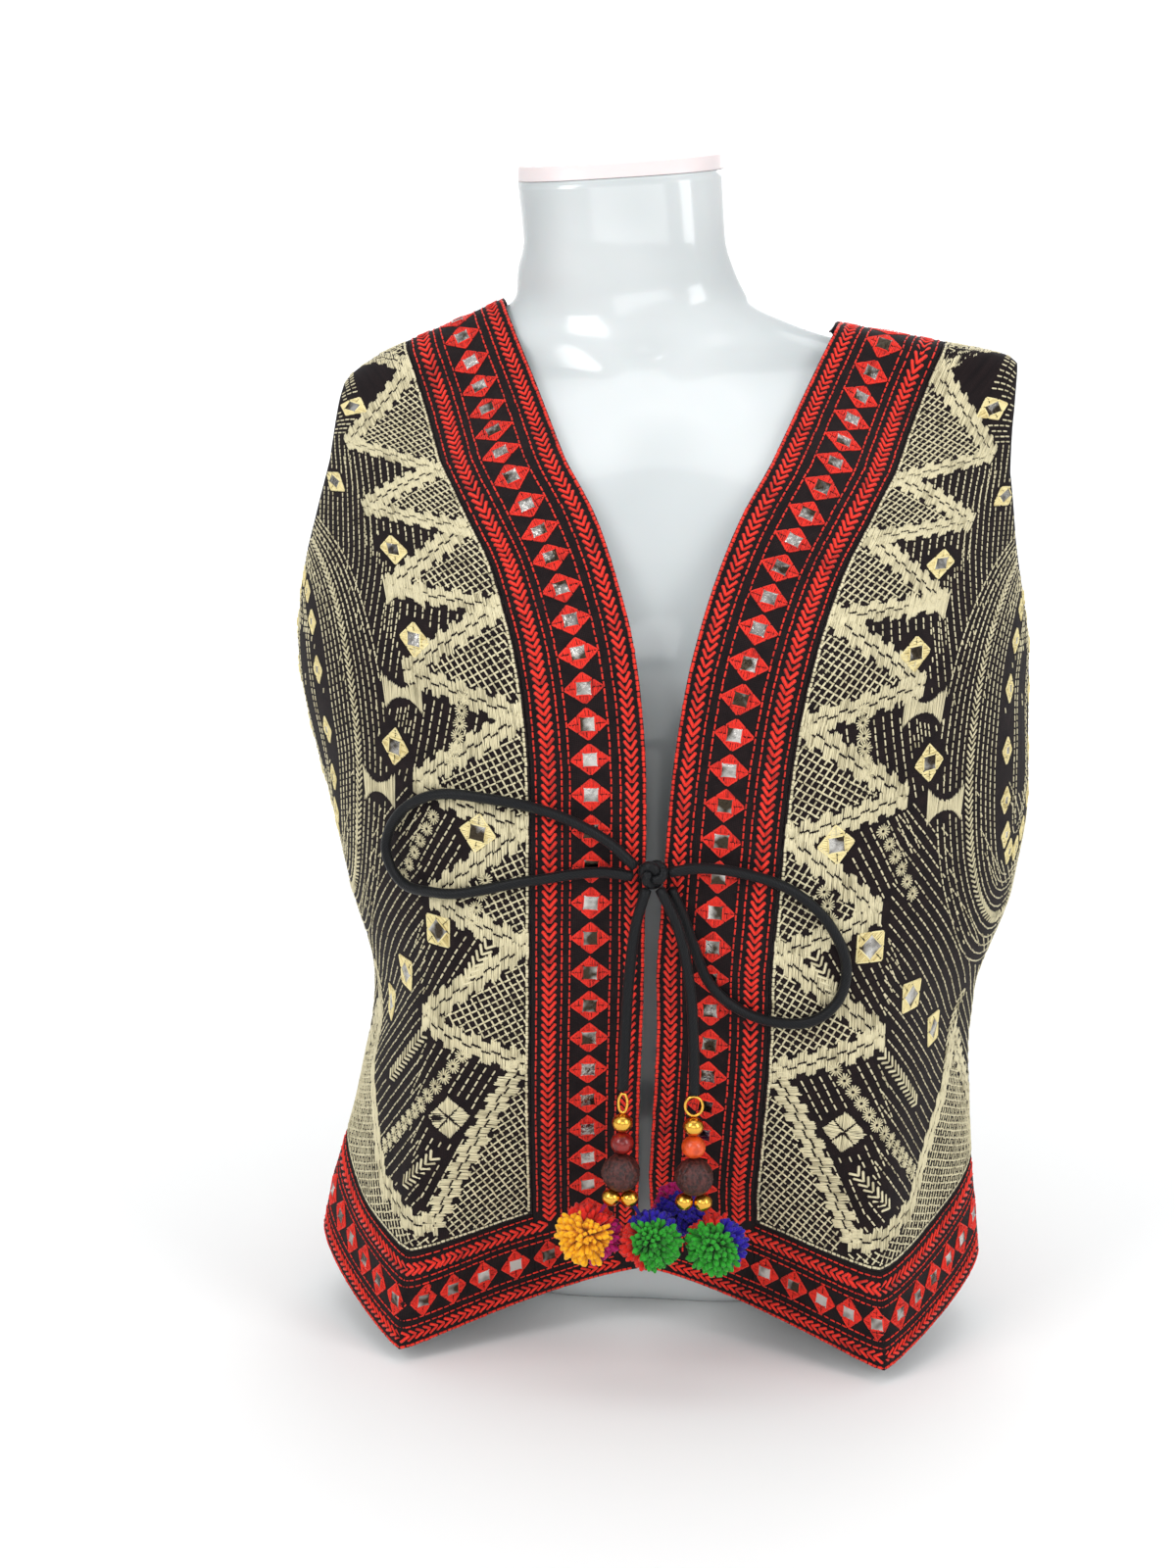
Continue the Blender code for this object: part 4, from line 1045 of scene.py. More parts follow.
@dataclass
class Studio:
    """Pale floor, soft lights and the camera at the photograph's angle."""

    place: tuple[float, float, float] = (0.0245, -1.25, 0.535)
    pitch: float = 11.0
    yaw: float = 3.0
    roll: float = 1.2
    lens: float = 52.02

    def build(self) -> None:
        """Adds the floor, the lights, the world and the camera."""
        p, y, r = (math.radians(v) for v in (self.pitch, self.yaw, self.roll))
        ahead = Vector((-math.sin(y) * math.cos(p), math.cos(y) * math.cos(p), -math.sin(p)))
        level = Vector((math.cos(y), math.sin(y), 0))
        over = level.cross(ahead)
        right = math.cos(r) * level + math.sin(r) * over
        up = -math.sin(r) * level + math.cos(r) * over
        data = bpy.data.cameras.new("camera")
        data.sensor_width, data.lens = 36.0, self.lens
        data.clip_start = 0.05
        camera = bpy.data.objects.new("camera", data)
        turned = Matrix((right, up, -ahead)).transposed().to_4x4()
        camera.matrix_world = Matrix.Translation(self.place) @ turned
        bpy.context.scene.collection.objects.link(camera)
        bpy.context.scene.camera = camera
        self.floor()
        for name, spot, aim, size, power in (
            ("key", (-1.5, -1.7, 1.7), (0, 0, 0.35), (0.9, 1.5), 22.0),
            ("fill", (1.7, -1.4, 1.3), (0, 0, 0.35), (0.8, 1.5), 16.0),
            ("front", (0.1, -2.3, 0.9), (0, 0, 0.30), (1.6, 0.8), 7.0),
            ("top", (0.0, 0.1, 2.2), (0, 0, 0.3), (1.6, 1.6), 10.0),
            ("back", (0.3, 2.0, 1.2), (0, 0, 0.35), (1.6, 1.2), 14.0),
            ("sweep", (0.0, 2.3, 2.3), (0, 6.0, 0.2), (5.0, 1.5), 210.0),
        ):
            self.light(name, spot, aim, size, power)
        world = bpy.data.worlds.new("studio")
        world.use_nodes = True
        world.node_tree.nodes["Background"].inputs["Color"].default_value = (0.95, 0.97, 1.0, 1.0)
        world.node_tree.nodes["Background"].inputs["Strength"].default_value = 0.66
        bpy.context.scene.view_settings.view_transform = "Standard"
        bpy.context.scene.world = world
        log.info("studio built")

    def floor(self) -> None:
        """Adds the pale floor, which sweeps up far behind."""
        turn = np.linspace(0, math.pi / 2, 13)
        line = [(-8.0, 0.0)] + [(5.0 + 3 * math.sin(t), 3 - 3 * math.cos(t)) for t in turn] + [(8.0, 9.0)]
        points = [(x, y, z) for y, z in line for x in (-9.0, 9.0)]
        faces = [(2 * k, 2 * k + 1, 2 * k + 3, 2 * k + 2) for k in range(len(line) - 1)]
        paper = Finish("white_paper_sweep", "#F6F6F5", 0.85).make()
        add_object("floor", mesh_of("floor", np.array(points), faces), [paper])

    def light(self, name: str, spot: tuple, aim: tuple, size: tuple, power: float) -> None:
        """Adds one soft box.

        Args:
            name: Its name.
            spot: Where it stands.
            aim: The point that it faces.
            size: Its width and height.
            power: Its power in watts.
        """
        data = bpy.data.lights.new(name, "AREA")
        data.shape, data.size, data.size_y, data.energy = "RECTANGLE", size[0], size[1], power
        lamp = bpy.data.objects.new(name, data)
        way = (Vector(aim) - Vector(spot)).to_track_quat("-Z", "Y").to_matrix().to_4x4()
        lamp.matrix_world = Matrix.Translation(spot) @ way
        bpy.context.scene.collection.objects.link(lamp)


@dataclass
class DressForm:
    """The glossy torso that the gilet hangs on, and the band that caps its neck."""

    around: int = 144
    step: float = 5.0
    lean_x: float = math.tan(math.radians(4.5))
    lean_y: float = math.tan(math.radians(6.5))

    def ring(self, z: float) -> Array:
        """One ring of the torso, from the spine round by the viewer's left."""
        half, dense, parts = self.around // 2, np.linspace(0, 4, 500), []
        for side in (LEFT, RIGHT):
            line = form_skin.point(side, np.full(500, z), dense)
            way = reach(line)
            a = np.interp(np.linspace(0, way[-1], half + 1), way, dense)
            parts.append(form_skin.point(side, np.full(half + 1, z), a))
        ring = np.concatenate([parts[0][::-1][:-1], parts[1][:-1]])
        return self.modelled(ring)

    def modelled(self, ring: Array) -> Array:
        """Adds the collarbones and the hollow of the throat to a ring."""
        x, y, z = (ring / MM).T
        front = np.clip((-y + 5) / 20, 0, 1)
        lift = np.zeros(len(ring))
        for side in SIDES:
            u = side * (x + 14)
            line = 523 + 0.13 * u + 2.5 * np.sin(u / 24)
            span = np.clip((u - 8) / 14, 0, 1) * np.clip((118 - u) / 50, 0, 1)
            lift += 2.6 * span * np.exp(-(((z - line) / 7.5) ** 2))
            lift -= 1.7 * span * np.exp(-(((z - line + 15) / 10) ** 2))
        lift -= 3.4 * np.exp(-(((x + 14) / 11) ** 2) - (((z - 521) / 11) ** 2))
        middle = ring[:, :2].mean(0)
        ring[:, :2] += unit(ring[:, :2] - middle) * (lift * front * MM)[:, None]
        return ring

    def leaned(self, ring: Array, z: float) -> Array:
        """Leans a ring of the neck towards its sloping top."""
        grow = np.clip((z - 560 * MM) / (NECK_TOP - 560 * MM), 0, 1)
        off = ring[:, :2] - ring[:, :2].mean(0)
        ring[:, 2] += grow * (self.lean_x * off[:, 0] + self.lean_y * off[:, 1])
        return ring

    def body(self, name: str, rings: list[Array], material: Material) -> bpy.types.Object:
        """A closed body through rings, with a fan in each flat end."""
        points = np.concatenate(rings + [[rings[0].mean(0)], [rings[-1].mean(0)]])
        faces = ring_faces(len(rings), len(rings[0]))
        return add_object(name, faced_out(mesh_of(name, points, faces)), [material])

    def build(self) -> None:
        """Builds the torso and its cap and puts them in the solids' place."""
        heights = np.concatenate([
            [0, 1.5, 4, 8, 13, 20], np.arange(27, 480, self.step), np.arange(480, 622, 2.5), [625],
        ]) * MM
        rings = [self.leaned(self.ring(z), z) for z in heights]
        torso = self.body("form_torso", rings, PALE_PLASTIC.make())
        top = rings[-1]
        middle = top.mean(0)
        cap = []
        for lift, draw in ((0.3, 0.0), (0.9, 0.4), (7.4, 0.4), (8.2, 1.2), (8.2, 1.8)):
            ring = top + (0, 0, lift * MM)
            ring[:, :2] -= unit(ring[:, :2] - middle[:2]) * draw * MM
            cap.append(ring)
        band = self.body("form_neck_cap", cap, CAP_PLASTIC.make())
        for piece, node in ((torso, "dress_form"), (band, "neck_cap")):
            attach(piece, "root")
            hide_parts(node)
        log.info("dress form built")


@dataclass
class Scatter:
    """Lays copies of one small mesh on points, each turned, sized and toned by its own numbers."""

    shape: bpy.types.Object
    looseness: float = 0.08
    seed: int = 5

    def tree(self) -> bpy.types.NodeTree:
        """Builds the node group, or finds the one that was built before."""
        found = bpy.data.node_groups.get("scatter")
        if found:
            return found
        tree = bpy.data.node_groups.new("scatter", "GeometryNodeTree")
        face = tree.interface
        face.new_socket("Geometry", in_out="INPUT", socket_type="NodeSocketGeometry")
        face.new_socket("Shape", in_out="INPUT", socket_type="NodeSocketObject")
        face.new_socket("Material", in_out="INPUT", socket_type="NodeSocketMaterial")
        face.new_socket("Looseness", in_out="INPUT", socket_type="NodeSocketFloat")
        face.new_socket("Seed", in_out="INPUT", socket_type="NodeSocketInt")
        face.new_socket("Geometry", in_out="OUTPUT", socket_type="NodeSocketGeometry")
        given = add_node(tree, "NodeGroupInput").outputs
        shape = add_node(tree, "GeometryNodeObjectInfo", Object=given["Shape"])
        turn = add_node(tree, "GeometryNodeInputNamedAttribute", {
            "data_type": "FLOAT_VECTOR", "in:Name": "turn",
        })
        size = add_node(tree, "GeometryNodeInputNamedAttribute", {
            "data_type": "FLOAT_VECTOR", "in:Name": "size",
        })
        least = add_node(tree, "ShaderNodeMath", {"operation": "SUBTRACT", "in:0": 1.0},
                         i1=given["Looseness"])
        most = add_node(tree, "ShaderNodeMath", {"operation": "ADD", "in:0": 1.0},
                        i1=given["Looseness"])
        loose = add_node(tree, "FunctionNodeRandomValue", {"data_type": "FLOAT"},
                         i2=least.outputs[0], i3=most.outputs[0], Seed=given["Seed"])
        scale = add_node(tree, "ShaderNodeVectorMath", {"operation": "SCALE"},
                         i0=size.outputs[0], Scale=loose.outputs[1])
        turned = add_node(tree, "FunctionNodeEulerToRotation", i0=turn.outputs[0])
        copies = add_node(tree, "GeometryNodeInstanceOnPoints",
                          Points=given["Geometry"], Instance=shape.outputs["Geometry"],
                          Rotation=turned.outputs[0], Scale=scale.outputs[0])
        tone = add_node(tree, "FunctionNodeRandomValue", {"data_type": "FLOAT"}, Seed=given["Seed"])
        toned = add_node(tree, "GeometryNodeStoreNamedAttribute", {
            "data_type": "FLOAT", "domain": "INSTANCE", "in:Name": "tone",
        }, Geometry=copies.outputs[0], Value=tone.outputs[1])
        real = add_node(tree, "GeometryNodeRealizeInstances", Geometry=toned.outputs[0])
        dressed = add_node(tree, "GeometryNodeSetMaterial",
                           Geometry=real.outputs[0], Material=given["Material"])
        add_node(tree, "NodeGroupOutput", Geometry=dressed.outputs[0])
        return tree

    def lay(
        self, name: str, points: Array, frames: Array, sizes: Array, material: Material,
    ) -> bpy.types.Object:
        """Lays one copy on each point.

        Args:
            name: The new piece's name.
            points: Where the copies' origins go.
            frames: Their x, y and z axes, as the columns of one matrix each.
            sizes: Their scale along x, y and z.
            material: The finish of them all.

        Returns:
            The new piece, a plain mesh.
        """
        mesh = mesh_of(name, points, [])
        r = frames
        turn = np.stack([
            np.arctan2(r[:, 2, 1], r[:, 2, 2]),
            np.arctan2(-r[:, 2, 0], np.hypot(r[:, 0, 0], r[:, 1, 0])),
            np.arctan2(r[:, 1, 0], r[:, 0, 0]),
        ], -1)
        for key, values in (("turn", turn), ("size", sizes)):
            layer = mesh.attributes.new(key, "FLOAT_VECTOR", "POINT")
            layer.data.foreach_set("vector", np.ascontiguousarray(values, np.float32).ravel())
        carrier = bpy.data.objects.new(name + "_points", mesh)
        bpy.context.scene.collection.objects.link(carrier)
        tree = self.tree()
        modifier = carrier.modifiers.new("scatter", "NODES")
        modifier.node_group = tree
        values = {"Shape": self.shape, "Material": material, "Looseness": self.looseness, "Seed": self.seed}
        for socket in tree.interface.items_tree:
            if socket.in_out == "INPUT" and socket.name in values:
                modifier[socket.identifier] = values[socket.name]
        graph = bpy.context.evaluated_depsgraph_get()
        made = bpy.data.meshes.new_from_object(carrier.evaluated_get(graph), depsgraph=graph)
        made.name = name
        carrier.modifiers.remove(modifier)
        bpy.data.objects.remove(carrier)
        made.materials.clear()
        return add_object(name, made, [material])


def shape_for_copies(name: str, points: list, faces: list) -> bpy.types.Object:
    """A mesh that is only copied and is itself left out of the scene."""
    return bpy.data.objects.new(name, faced_out(mesh_of(name, np.array(points, float), faces)))


def stitch_shape() -> bpy.types.Object:
    """A straight stitch of unit length along x, its ends drawn down into the cloth."""
    points = [(0, 0, -0.35), (1, 0, -0.35)]
    for x in (0.10, 0.90):
        points += [(x, -0.5, -0.12), (x, 0.5, -0.12), (x, 0.0, 0.62)]
    faces = []
    for j in range(3):
        k = (j + 1) % 3
        faces += [(0, 2 + j, 2 + k), (1, 5 + k, 5 + j), (2 + j, 5 + j, 5 + k, 2 + k)]
    return shape_for_copies("straight_stitch", points, faces)


def yarn_shape() -> bpy.types.Object:
    """A strand of yarn of unit length along z, a little bent, blunt at its cut end."""
    points = []
    for z, bend, r in (
        (0, 0, 0.5), (0.4, 0.05, 0.8), (0.75, 0.09, 1.0), (0.97, 0.05, 1.05), (1.04, 0.02, 0.45),
    ):
        points += [(bend + r * math.cos(t), r * math.sin(t), z) for t in np.linspace(0, 2 * math.pi, 5)[:-1]]
    faces = [(3, 2, 1, 0), (16, 17, 18, 19)]
    for i in range(4):
        for j in range(4):
            k = (j + 1) % 4
            faces.append((i * 4 + j, i * 4 + k, i * 4 + 4 + k, i * 4 + 4 + j))
    return shape_for_copies("yarn_strand", points, faces)


class Ground(Protocol):
    """Cloth with chart places u and v in mm."""

    def at(self, u: Array, v: Array) -> tuple[Array, Array]:
        """Points and normals of the cloth at chart places."""

    def holds(self, u: Array, v: Array) -> Array:
        """Whether each chart place lies on this cloth."""


SATIN_WIDTH, HATCH_PITCH = 0.95, 4.9      # in mm


@dataclass
class Needle:
    """Sews on one cloth piece and keeps its stitches until they are built."""

    ground: Ground
    dice: np.random.Generator
    kept: dict[Finish, list[Array]] = field(default_factory=dict)
    mirrors: list[Array] = field(default_factory=list)
    taken: list[tuple[float, float, float]] = field(default_factory=list)

    def sew(
        self, thread: Finish, start: Array, end: Array, width: float, height: float = 0.55,
        clear: bool = False,
    ) -> None:
        """Lays straight stitches.

        Args:
            thread: The thread's finish.
            start: Chart places where the stitches start, u and v on the last axis.
            end: Chart places where they end.
            width: Their width in mm.
            height: Their height in mm.
            clear: Whether places that a motif has taken stay free.
        """
        start = np.atleast_2d(np.asarray(start, float))
        end = np.atleast_2d(np.asarray(end, float))
        keep = self.ground.holds(start[:, 0], start[:, 1]) & self.ground.holds(end[:, 0], end[:, 1])
        keep &= np.linalg.norm(end - start, axis=1) > 0.6
        if clear:
            middle = (start + end) / 2
            for u, v, r in self.taken:
                keep &= np.hypot(middle[:, 0] - u, middle[:, 1] - v) > r
        start, end = start[keep], end[keep]
        if not len(start):
            return
        p, n0 = self.ground.at(start[:, 0], start[:, 1])
        q, n1 = self.ground.at(end[:, 0], end[:, 1])
        row = np.concatenate([p, q, unit(n0 + n1), np.full((len(p), 1), width * MM),
                              np.full((len(p), 1), height * MM)], axis=1)
        self.kept.setdefault(thread, []).append(row)

    def running(
        self, thread: Finish, path: Array, long: float, gap: float, width: float, clear: bool = True,
    ) -> None:
        """A line of running stitches along a chart path.

        Args:
            thread: The thread's finish.
            path: The chart path.
            long: Length of each stitch in mm.
            gap: Cloth between two stitches in mm.
            width: Width of the stitches in mm.
            clear: Whether places that a motif has taken stay free.
        """
        path = np.asarray(path, float)
        way = reach(path)
        at = np.arange(0.3, way[-1] - long, long + gap) + self.dice.uniform(-0.15, 0.15)
        if not len(at):
            return
        near = self.along(path, way, at)
        far = self.along(path, way, at + long)
        sway = self.dice.normal(0, 0.10, near.shape)
        self.sew(thread, near + sway, far + sway, width, clear=clear)

    def along(self, path: Array, way: Array, at: Array) -> Array:
        """Chart places at distances along a chart path."""
        return np.stack([np.interp(at, way, path[:, 0]), np.interp(at, way, path[:, 1])], -1)

    def wheat(
        self, thread: Finish, path: Array, half: float, pitch: float, width: float,
        clear: bool = False,
    ) -> None:
        """A wheat-ear chain along a chart path: pairs of stitches that meet on its middle.

        Args:
            thread: The thread's finish.
            path: The chart path, whose start the points of the pairs face.
            half: Half of the chain's width.
            pitch: Distance from pair to pair.
            width: Width of the stitches.
            clear: Whether places that a motif has taken stay free.
        """
        path = np.asarray(path, float)
        way = reach(path)
        at = np.arange(0.2, way[-1] - pitch, pitch)
        if not len(at):
            return
        low = self.along(path, way, at)
        high = self.along(path, way, np.minimum(at + 1.25 * pitch, way[-1]))
        side = unit(self.along(path, way, at + 0.5) - self.along(path, way, at - 0.2))
        side = np.stack([-side[:, 1], side[:, 0]], -1)
        for sign in (-1, 1):
            out = high + sign * side * (half + self.dice.normal(0, 0.12, (len(at), 1)))
            self.sew(thread, out, low - sign * side * 0.25, width, 0.8, clear)

    def satin(self, thread: Finish, start: Array, end: Array) -> None:
        """Satin threads side by side, each with a little slack of its own."""
        slack = self.dice.normal(0, 0.14, (2, *start.shape))
        self.sew(thread, start + slack[0], end + slack[1], SATIN_WIDTH, 0.5)

    def star(self, u: float, v: float, radius: float = 4.0, rays: int = 15) -> None:
        """A star flower of straight rays round a small hole."""
        turn = np.linspace(0, 2 * np.pi, rays, endpoint=False) + self.dice.uniform(0, 1)
        ray = np.stack([np.cos(turn), np.sin(turn)], -1)
        far = radius * self.dice.uniform(0.9, 1.08, (rays, 1))
        self.sew(BEIGE_THREAD, ray * 0.7 + (u, v), ray * far + (u, v), 0.8, 0.6)
        self.taken.append((u, v, radius + 0.6))

    def stars(self, path: Array, pitch: float = 7.6) -> None:
        """A chain of star flowers along a chart path."""
        path = np.asarray(path, float)
        way = reach(path)
        count = max(2, round(way[-1] / pitch) + 1)
        for u, v in self.along(path, way, np.linspace(0, way[-1], count)):
            self.star(u, v)

    def lozenge(
        self, thread: Finish, u: float, v: float, wide: float, high: float, mirror: float,
        turn: float = 0.0,
    ) -> None:
        """A satin diamond round a small square mirror.

        Args:
            thread: The satin's finish.
            u: Its middle's place along u.
            v: Its middle's place along v.
            wide: Its full width along u.
            high: Its full height along v.
            mirror: Side of its mirror.
            turn: Angle of the whole motif in degrees.
        """
        c, s = math.cos(math.radians(turn)), math.sin(math.radians(turn))
        spin = np.array([[c, s], [-s, c]])
        off = np.arange(-high / 2 + 0.5, high / 2 - 0.2, 0.85)
        half = wide / 2 * (1 - np.abs(off) / (high / 2)) + 0.3
        gap = np.where(np.abs(off) < mirror / 2, mirror / 2 - 0.3, 0.0)
        for sign in (-1, 1):
            near = np.stack([sign * gap, off], -1)
            far = np.stack([sign * np.maximum(half, gap), off], -1)
            self.satin(thread, near @ spin + (u, v), far @ spin + (u, v))
        corner = np.array([(wide / 2, 0), (0, high / 2), (-wide / 2, 0), (0, -high / 2)])
        for a, b in zip(corner, np.roll(corner, -1, axis=0)):
            halfway = (a + b) / 2
            for p, q in ((a, halfway), (halfway, b)):
                self.sew(thread, p @ spin + (u, v), q @ spin + (u, v), 1.0, 0.7)
        self.mirror(thread, u, v, mirror, turn)
        self.taken.append((u, v, max(wide, high) / 2 + 0.8))

    def mirror(self, thread: Finish, u: float, v: float, side: float, turn: float) -> None:
        """A square mirror held down by a frame of threads."""
        tilt = math.radians(turn + self.dice.uniform(-5, 5))
        c, s = math.cos(tilt), math.sin(tilt)
        h = side / 2
        corner = np.array([(-h, -h), (h, -h), (h, h), (-h, h)]) @ np.array([[c, s], [-s, c]]) + (u, v)
        if not self.ground.holds(corner[:, 0], corner[:, 1]).all():
            return
        for a, b in zip(corner, np.roll(corner, -1, axis=0)):
            self.sew(thread, a, b, 1.1, 1.1)
        points, normals = self.ground.at(corner[:, 0], corner[:, 1])
        self.mirrors.append(np.stack([points, normals], 1))

    def build(self, name: str, scatter: Scatter) -> None:
        """Builds one piece for each thread and one for the mirrors.

        Args:
            name: The cloth piece's name.
            scatter: What lays the stitches.
        """
        for thread, rows in self.kept.items():
            r = np.concatenate(rows)
            start, end, normal, width, height = r[:, :3], r[:, 3:6], r[:, 6:9], r[:, 9:10], r[:, 10:11]
            way = end - start
            long = np.linalg.norm(way, axis=1, keepdims=True)
            way = way / long
            across = unit(np.cross(normal, way))
            frames = np.stack([way, across, np.cross(way, across)], -1)
            piece = scatter.lay(
                f"{thread.name}_on_{name}", start + normal * height * 0.25, frames,
                np.concatenate([long, width, height], axis=1), bpy.data.materials[thread.name],
            )
            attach(piece, "root")
            log.info("%s: %d stitches", piece.name, len(r))
        if self.mirrors:
            self.build_mirrors(name)

    def build_mirrors(self, name: str) -> None:
        """Builds the mirrors as thin closed plates, their backs on the cloth."""
        points, faces = [], []
        for plate in self.mirrors:
            base, corner, normal = len(points), plate[:, 0], plate[:, 1]
            middle, up = corner.mean(0), unit(normal.mean(0))
            bulge = self.dice.uniform(0.15, 0.35) * MM
            points += [*(corner + 0.1 * MM * up), *(corner + 0.55 * MM * up)]
            points += [middle + (0.55 * MM + bulge) * up]
            faces += [(base + 3, base + 2, base + 1, base)]
            for k in range(4):
                j = (k + 1) % 4
                faces += [(base + k, base + j, base + 4 + j, base + 4 + k),
                          (base + 4 + k, base + 4 + j, base + 8)]
        mesh = faced_out(mesh_of("mirrors_on_" + name, np.array(points), faces, smooth=False))
        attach(add_object("mirrors_on_" + name, mesh, [bpy.data.materials[SILVER_FOIL.name]]), "root")


@dataclass
class Strip:
    """A border strip: u runs along it and v across it, from its outer edge, both in mm.

    Its grid's rows run along it and its columns across it. A chart line across the strip is
    square to its outer edge, and where the strip is mitred it ends on the line of equal steps.
    Where the strip bends sharply at a fold, the lines turn gradually to lie along that grid row.
    """

    panel: Panel
    mitred: bool
    fold: int | None = None
    rows: Array = field(init=False)
    step: float = 2.0

    def __post_init__(self) -> None:
        """Works out the strip's length and, for each chart line across it, its grid rows."""
        edge = self.panel.points[:, 0]
        way = reach(edge)
        self.length = way[-1] / MM
        places = np.arange(0, self.length, self.step) * MM
        spot = np.stack([np.interp(places, way, edge[:, k]) for k in range(3)], -1)
        course = unit(np.gradient(spot, axis=0))
        kernel = np.ones(9) / 9
        course = unit(np.stack([
            np.convolve(np.pad(course[:, k], 4, mode="edge"), kernel, "valid") for k in range(3)
        ], -1))
        base = np.interp(places, way, np.arange(len(edge)))
        table = [base]
        for column in range(1, self.panel.points.shape[1]):
            line = self.panel.points[:, column]
            off = np.einsum("ukc,uc->uk", line[None] - spot[:, None], course)
            first = np.clip((off < 0).sum(1) - 1, 0, len(line) - 2)
            picked = np.arange(len(places))
            low, high = off[picked, first], off[picked, first + 1]
            table.append(first + np.clip(-low / np.maximum(high - low, 1e-9), -6, 6))
        # lines across the strip lie along a seam where the strip ends on one
        ease = np.clip((self.length - places / MM) / 34.0, 0, 1)
        if not self.mitred:
            ease = np.minimum(ease, np.clip(places / MM / 34.0, 0, 1))
        if self.fold is not None:
            bend = np.interp(self.fold, base, places / MM)
            ease *= 0.5 * np.clip(np.abs(places / MM - bend) / 42.0, 0, 1)
        self.rows = base + (np.array(table) - base) * ease

    def grid_place(self, u: Array, v: Array) -> tuple[Array, Array]:
        """Fractional grid rows and columns of chart places."""
        last = self.rows.shape[0] - 1
        column = np.clip(np.asarray(v, float) / BORDER * last, 0, last - 1e-6)
        place = np.clip(np.asarray(u, float) / self.step, 0, self.rows.shape[1] - 1.000001)
        i, j = column.astype(int), place.astype(int)
        s, t = column - i, place - j
        low = self.rows[i, j] * (1 - t) + self.rows[i, j + 1] * t
        high = self.rows[i + 1, j] * (1 - t) + self.rows[i + 1, j + 1] * t
        return low * (1 - s) + high * s, column

    def at(self, u: Array, v: Array) -> tuple[Array, Array]:
        """Points and normals of the cloth at chart places."""
        return self.panel.at(*self.grid_place(u, v))

    def holds(self, u: Array, v: Array) -> Array:
        """Whether each chart place lies on this strip."""
        row, column = self.grid_place(u, v)
        inside = (row >= 0) & (row <= len(self.panel.points) - 1)
        inside &= (u >= 0) & (u <= self.length) & (v > -1) & (v < BORDER + 1)
        if self.mitred:
            inside &= row > column + 0.1
        return inside


@dataclass
class FieldChart:
    """A field panel: u runs out from the border strip and v up from the hem strip, in mm."""

    panel: Panel
    first: float = 1.2      # cloth left plain at the first column
    margin: float = 1.2     # and at the other edges

    def __post_init__(self) -> None:
        """Measures the panel's rows up from the hem strip."""
        self.up = reach(self.panel.points[:, 0]) / MM
        steps = np.linalg.norm(np.diff(self.panel.points, axis=1), axis=-1) / MM
        self.out = np.concatenate([np.zeros((len(steps), 1)), np.cumsum(steps, axis=1)], axis=1)

    def lines(self, v: Array) -> tuple[Array, Array]:
        """Fractional rows at v, and distances of their columns."""
        row = np.clip(np.interp(v, self.up, np.arange(len(self.up))), 0, len(self.up) - 1.000001)
        i = row.astype(int)
        t = (row - i)[..., None]
        return row, self.out[i] * (1 - t) + self.out[i + 1] * t

    def at(self, u: Array, v: Array) -> tuple[Array, Array]:
        """Points and normals of the cloth at chart places."""
        row, out = self.lines(np.asarray(v, float))
        u = np.asarray(u, float)
        k = np.clip((out <= u[..., None]).sum(-1) - 1, 0, out.shape[-1] - 2)
        low = np.take_along_axis(out, k[..., None], -1)[..., 0]
        high = np.take_along_axis(out, k[..., None] + 1, -1)[..., 0]
        return self.panel.at(row, k + (u - low) / (high - low))

    def holds(self, u: Array, v: Array) -> Array:
        """Whether each chart place lies on this panel."""
        _, out = self.lines(np.asarray(v, float))
        m = self.margin
        return (u >= self.first) & (u < out[..., -1] - m) & (v > m) & (v < self.up[-1] - m)


class Way(NamedTuple):
    """A point of the tie's route: its place in the front view and its height off the cloth, in mm."""

    x: float
    z: float
    off: float


def cloth_in_front(x: float, z: float) -> tuple[Array, Array]:
    """Point and normal of the cloth at a place of the front view."""
    side = LEFT if x < 0 else RIGHT
    z = np.array(z)
    a = cloth_skin.place(side, z, np.array(x), 0.0, 2.0)
    return cloth_skin.point(side, z, a), cloth_skin.normal(side, z, a)


def smooth_route(points: Sequence, spacing: float) -> Array:
    """A smooth line through a route's points, read off at an even spacing."""
    route = np.asarray(points, float)
    way = reach(route)
    turn = unit(np.gradient(route, way, axis=0))
    fine = []
    for k in range(len(route) - 1):
        long = way[k + 1] - way[k]
        t = np.linspace(0, 1, 30)[:, None]
        fine.append(
            route[k] * (1 + 2 * t) * (1 - t) ** 2
            + route[k + 1] * t * t * (3 - 2 * t)
            + turn[k] * long * t * (1 - t) ** 2
            - turn[k + 1] * long * t * t * (1 - t)
        )
    fine = np.concatenate(fine)
    way = reach(fine)
    even = np.linspace(0, way[-1], max(3, round(way[-1] / spacing) + 1))
    return np.stack([np.interp(even, way, fine[:, k]) for k in range(3)], 1)


KNOT = Way(0.5, 280, 9.5)
LOOPS = {
    "left": [
        Way(-8.8, 283, 8.0), Way(-20, 293, 6.5), Way(-42, 305, 4.0), Way(-80, 314, 3.8),
        Way(-111, 312, 4.5), Way(-126, 299, 6.5), Way(-130, 280, 8.0), Way(-124, 267, 6.5),
        Way(-106, 263.5, 4.5), Way(-60, 273.5, 3.8), Way(-22, 279, 6.0), Way(-10.2, 278.3, 8.5),
    ],
    "right": [
        Way(9.3, 281, 9.0), Way(20, 283, 8.0), Way(44, 281, 4.5), Way(72, 271, 3.8),
        Way(90, 252, 3.8), Way(97, 233, 4.2), Way(94, 216, 4.2), Way(83, 205, 3.8),
        Way(64, 203, 3.8), Way(45, 209, 3.8), Way(31, 221, 3.8), Way(22, 241, 3.8),
        Way(15, 260, 4.4), Way(9.8, 271.5, 6.5),
    ],
}
END_Y = -164
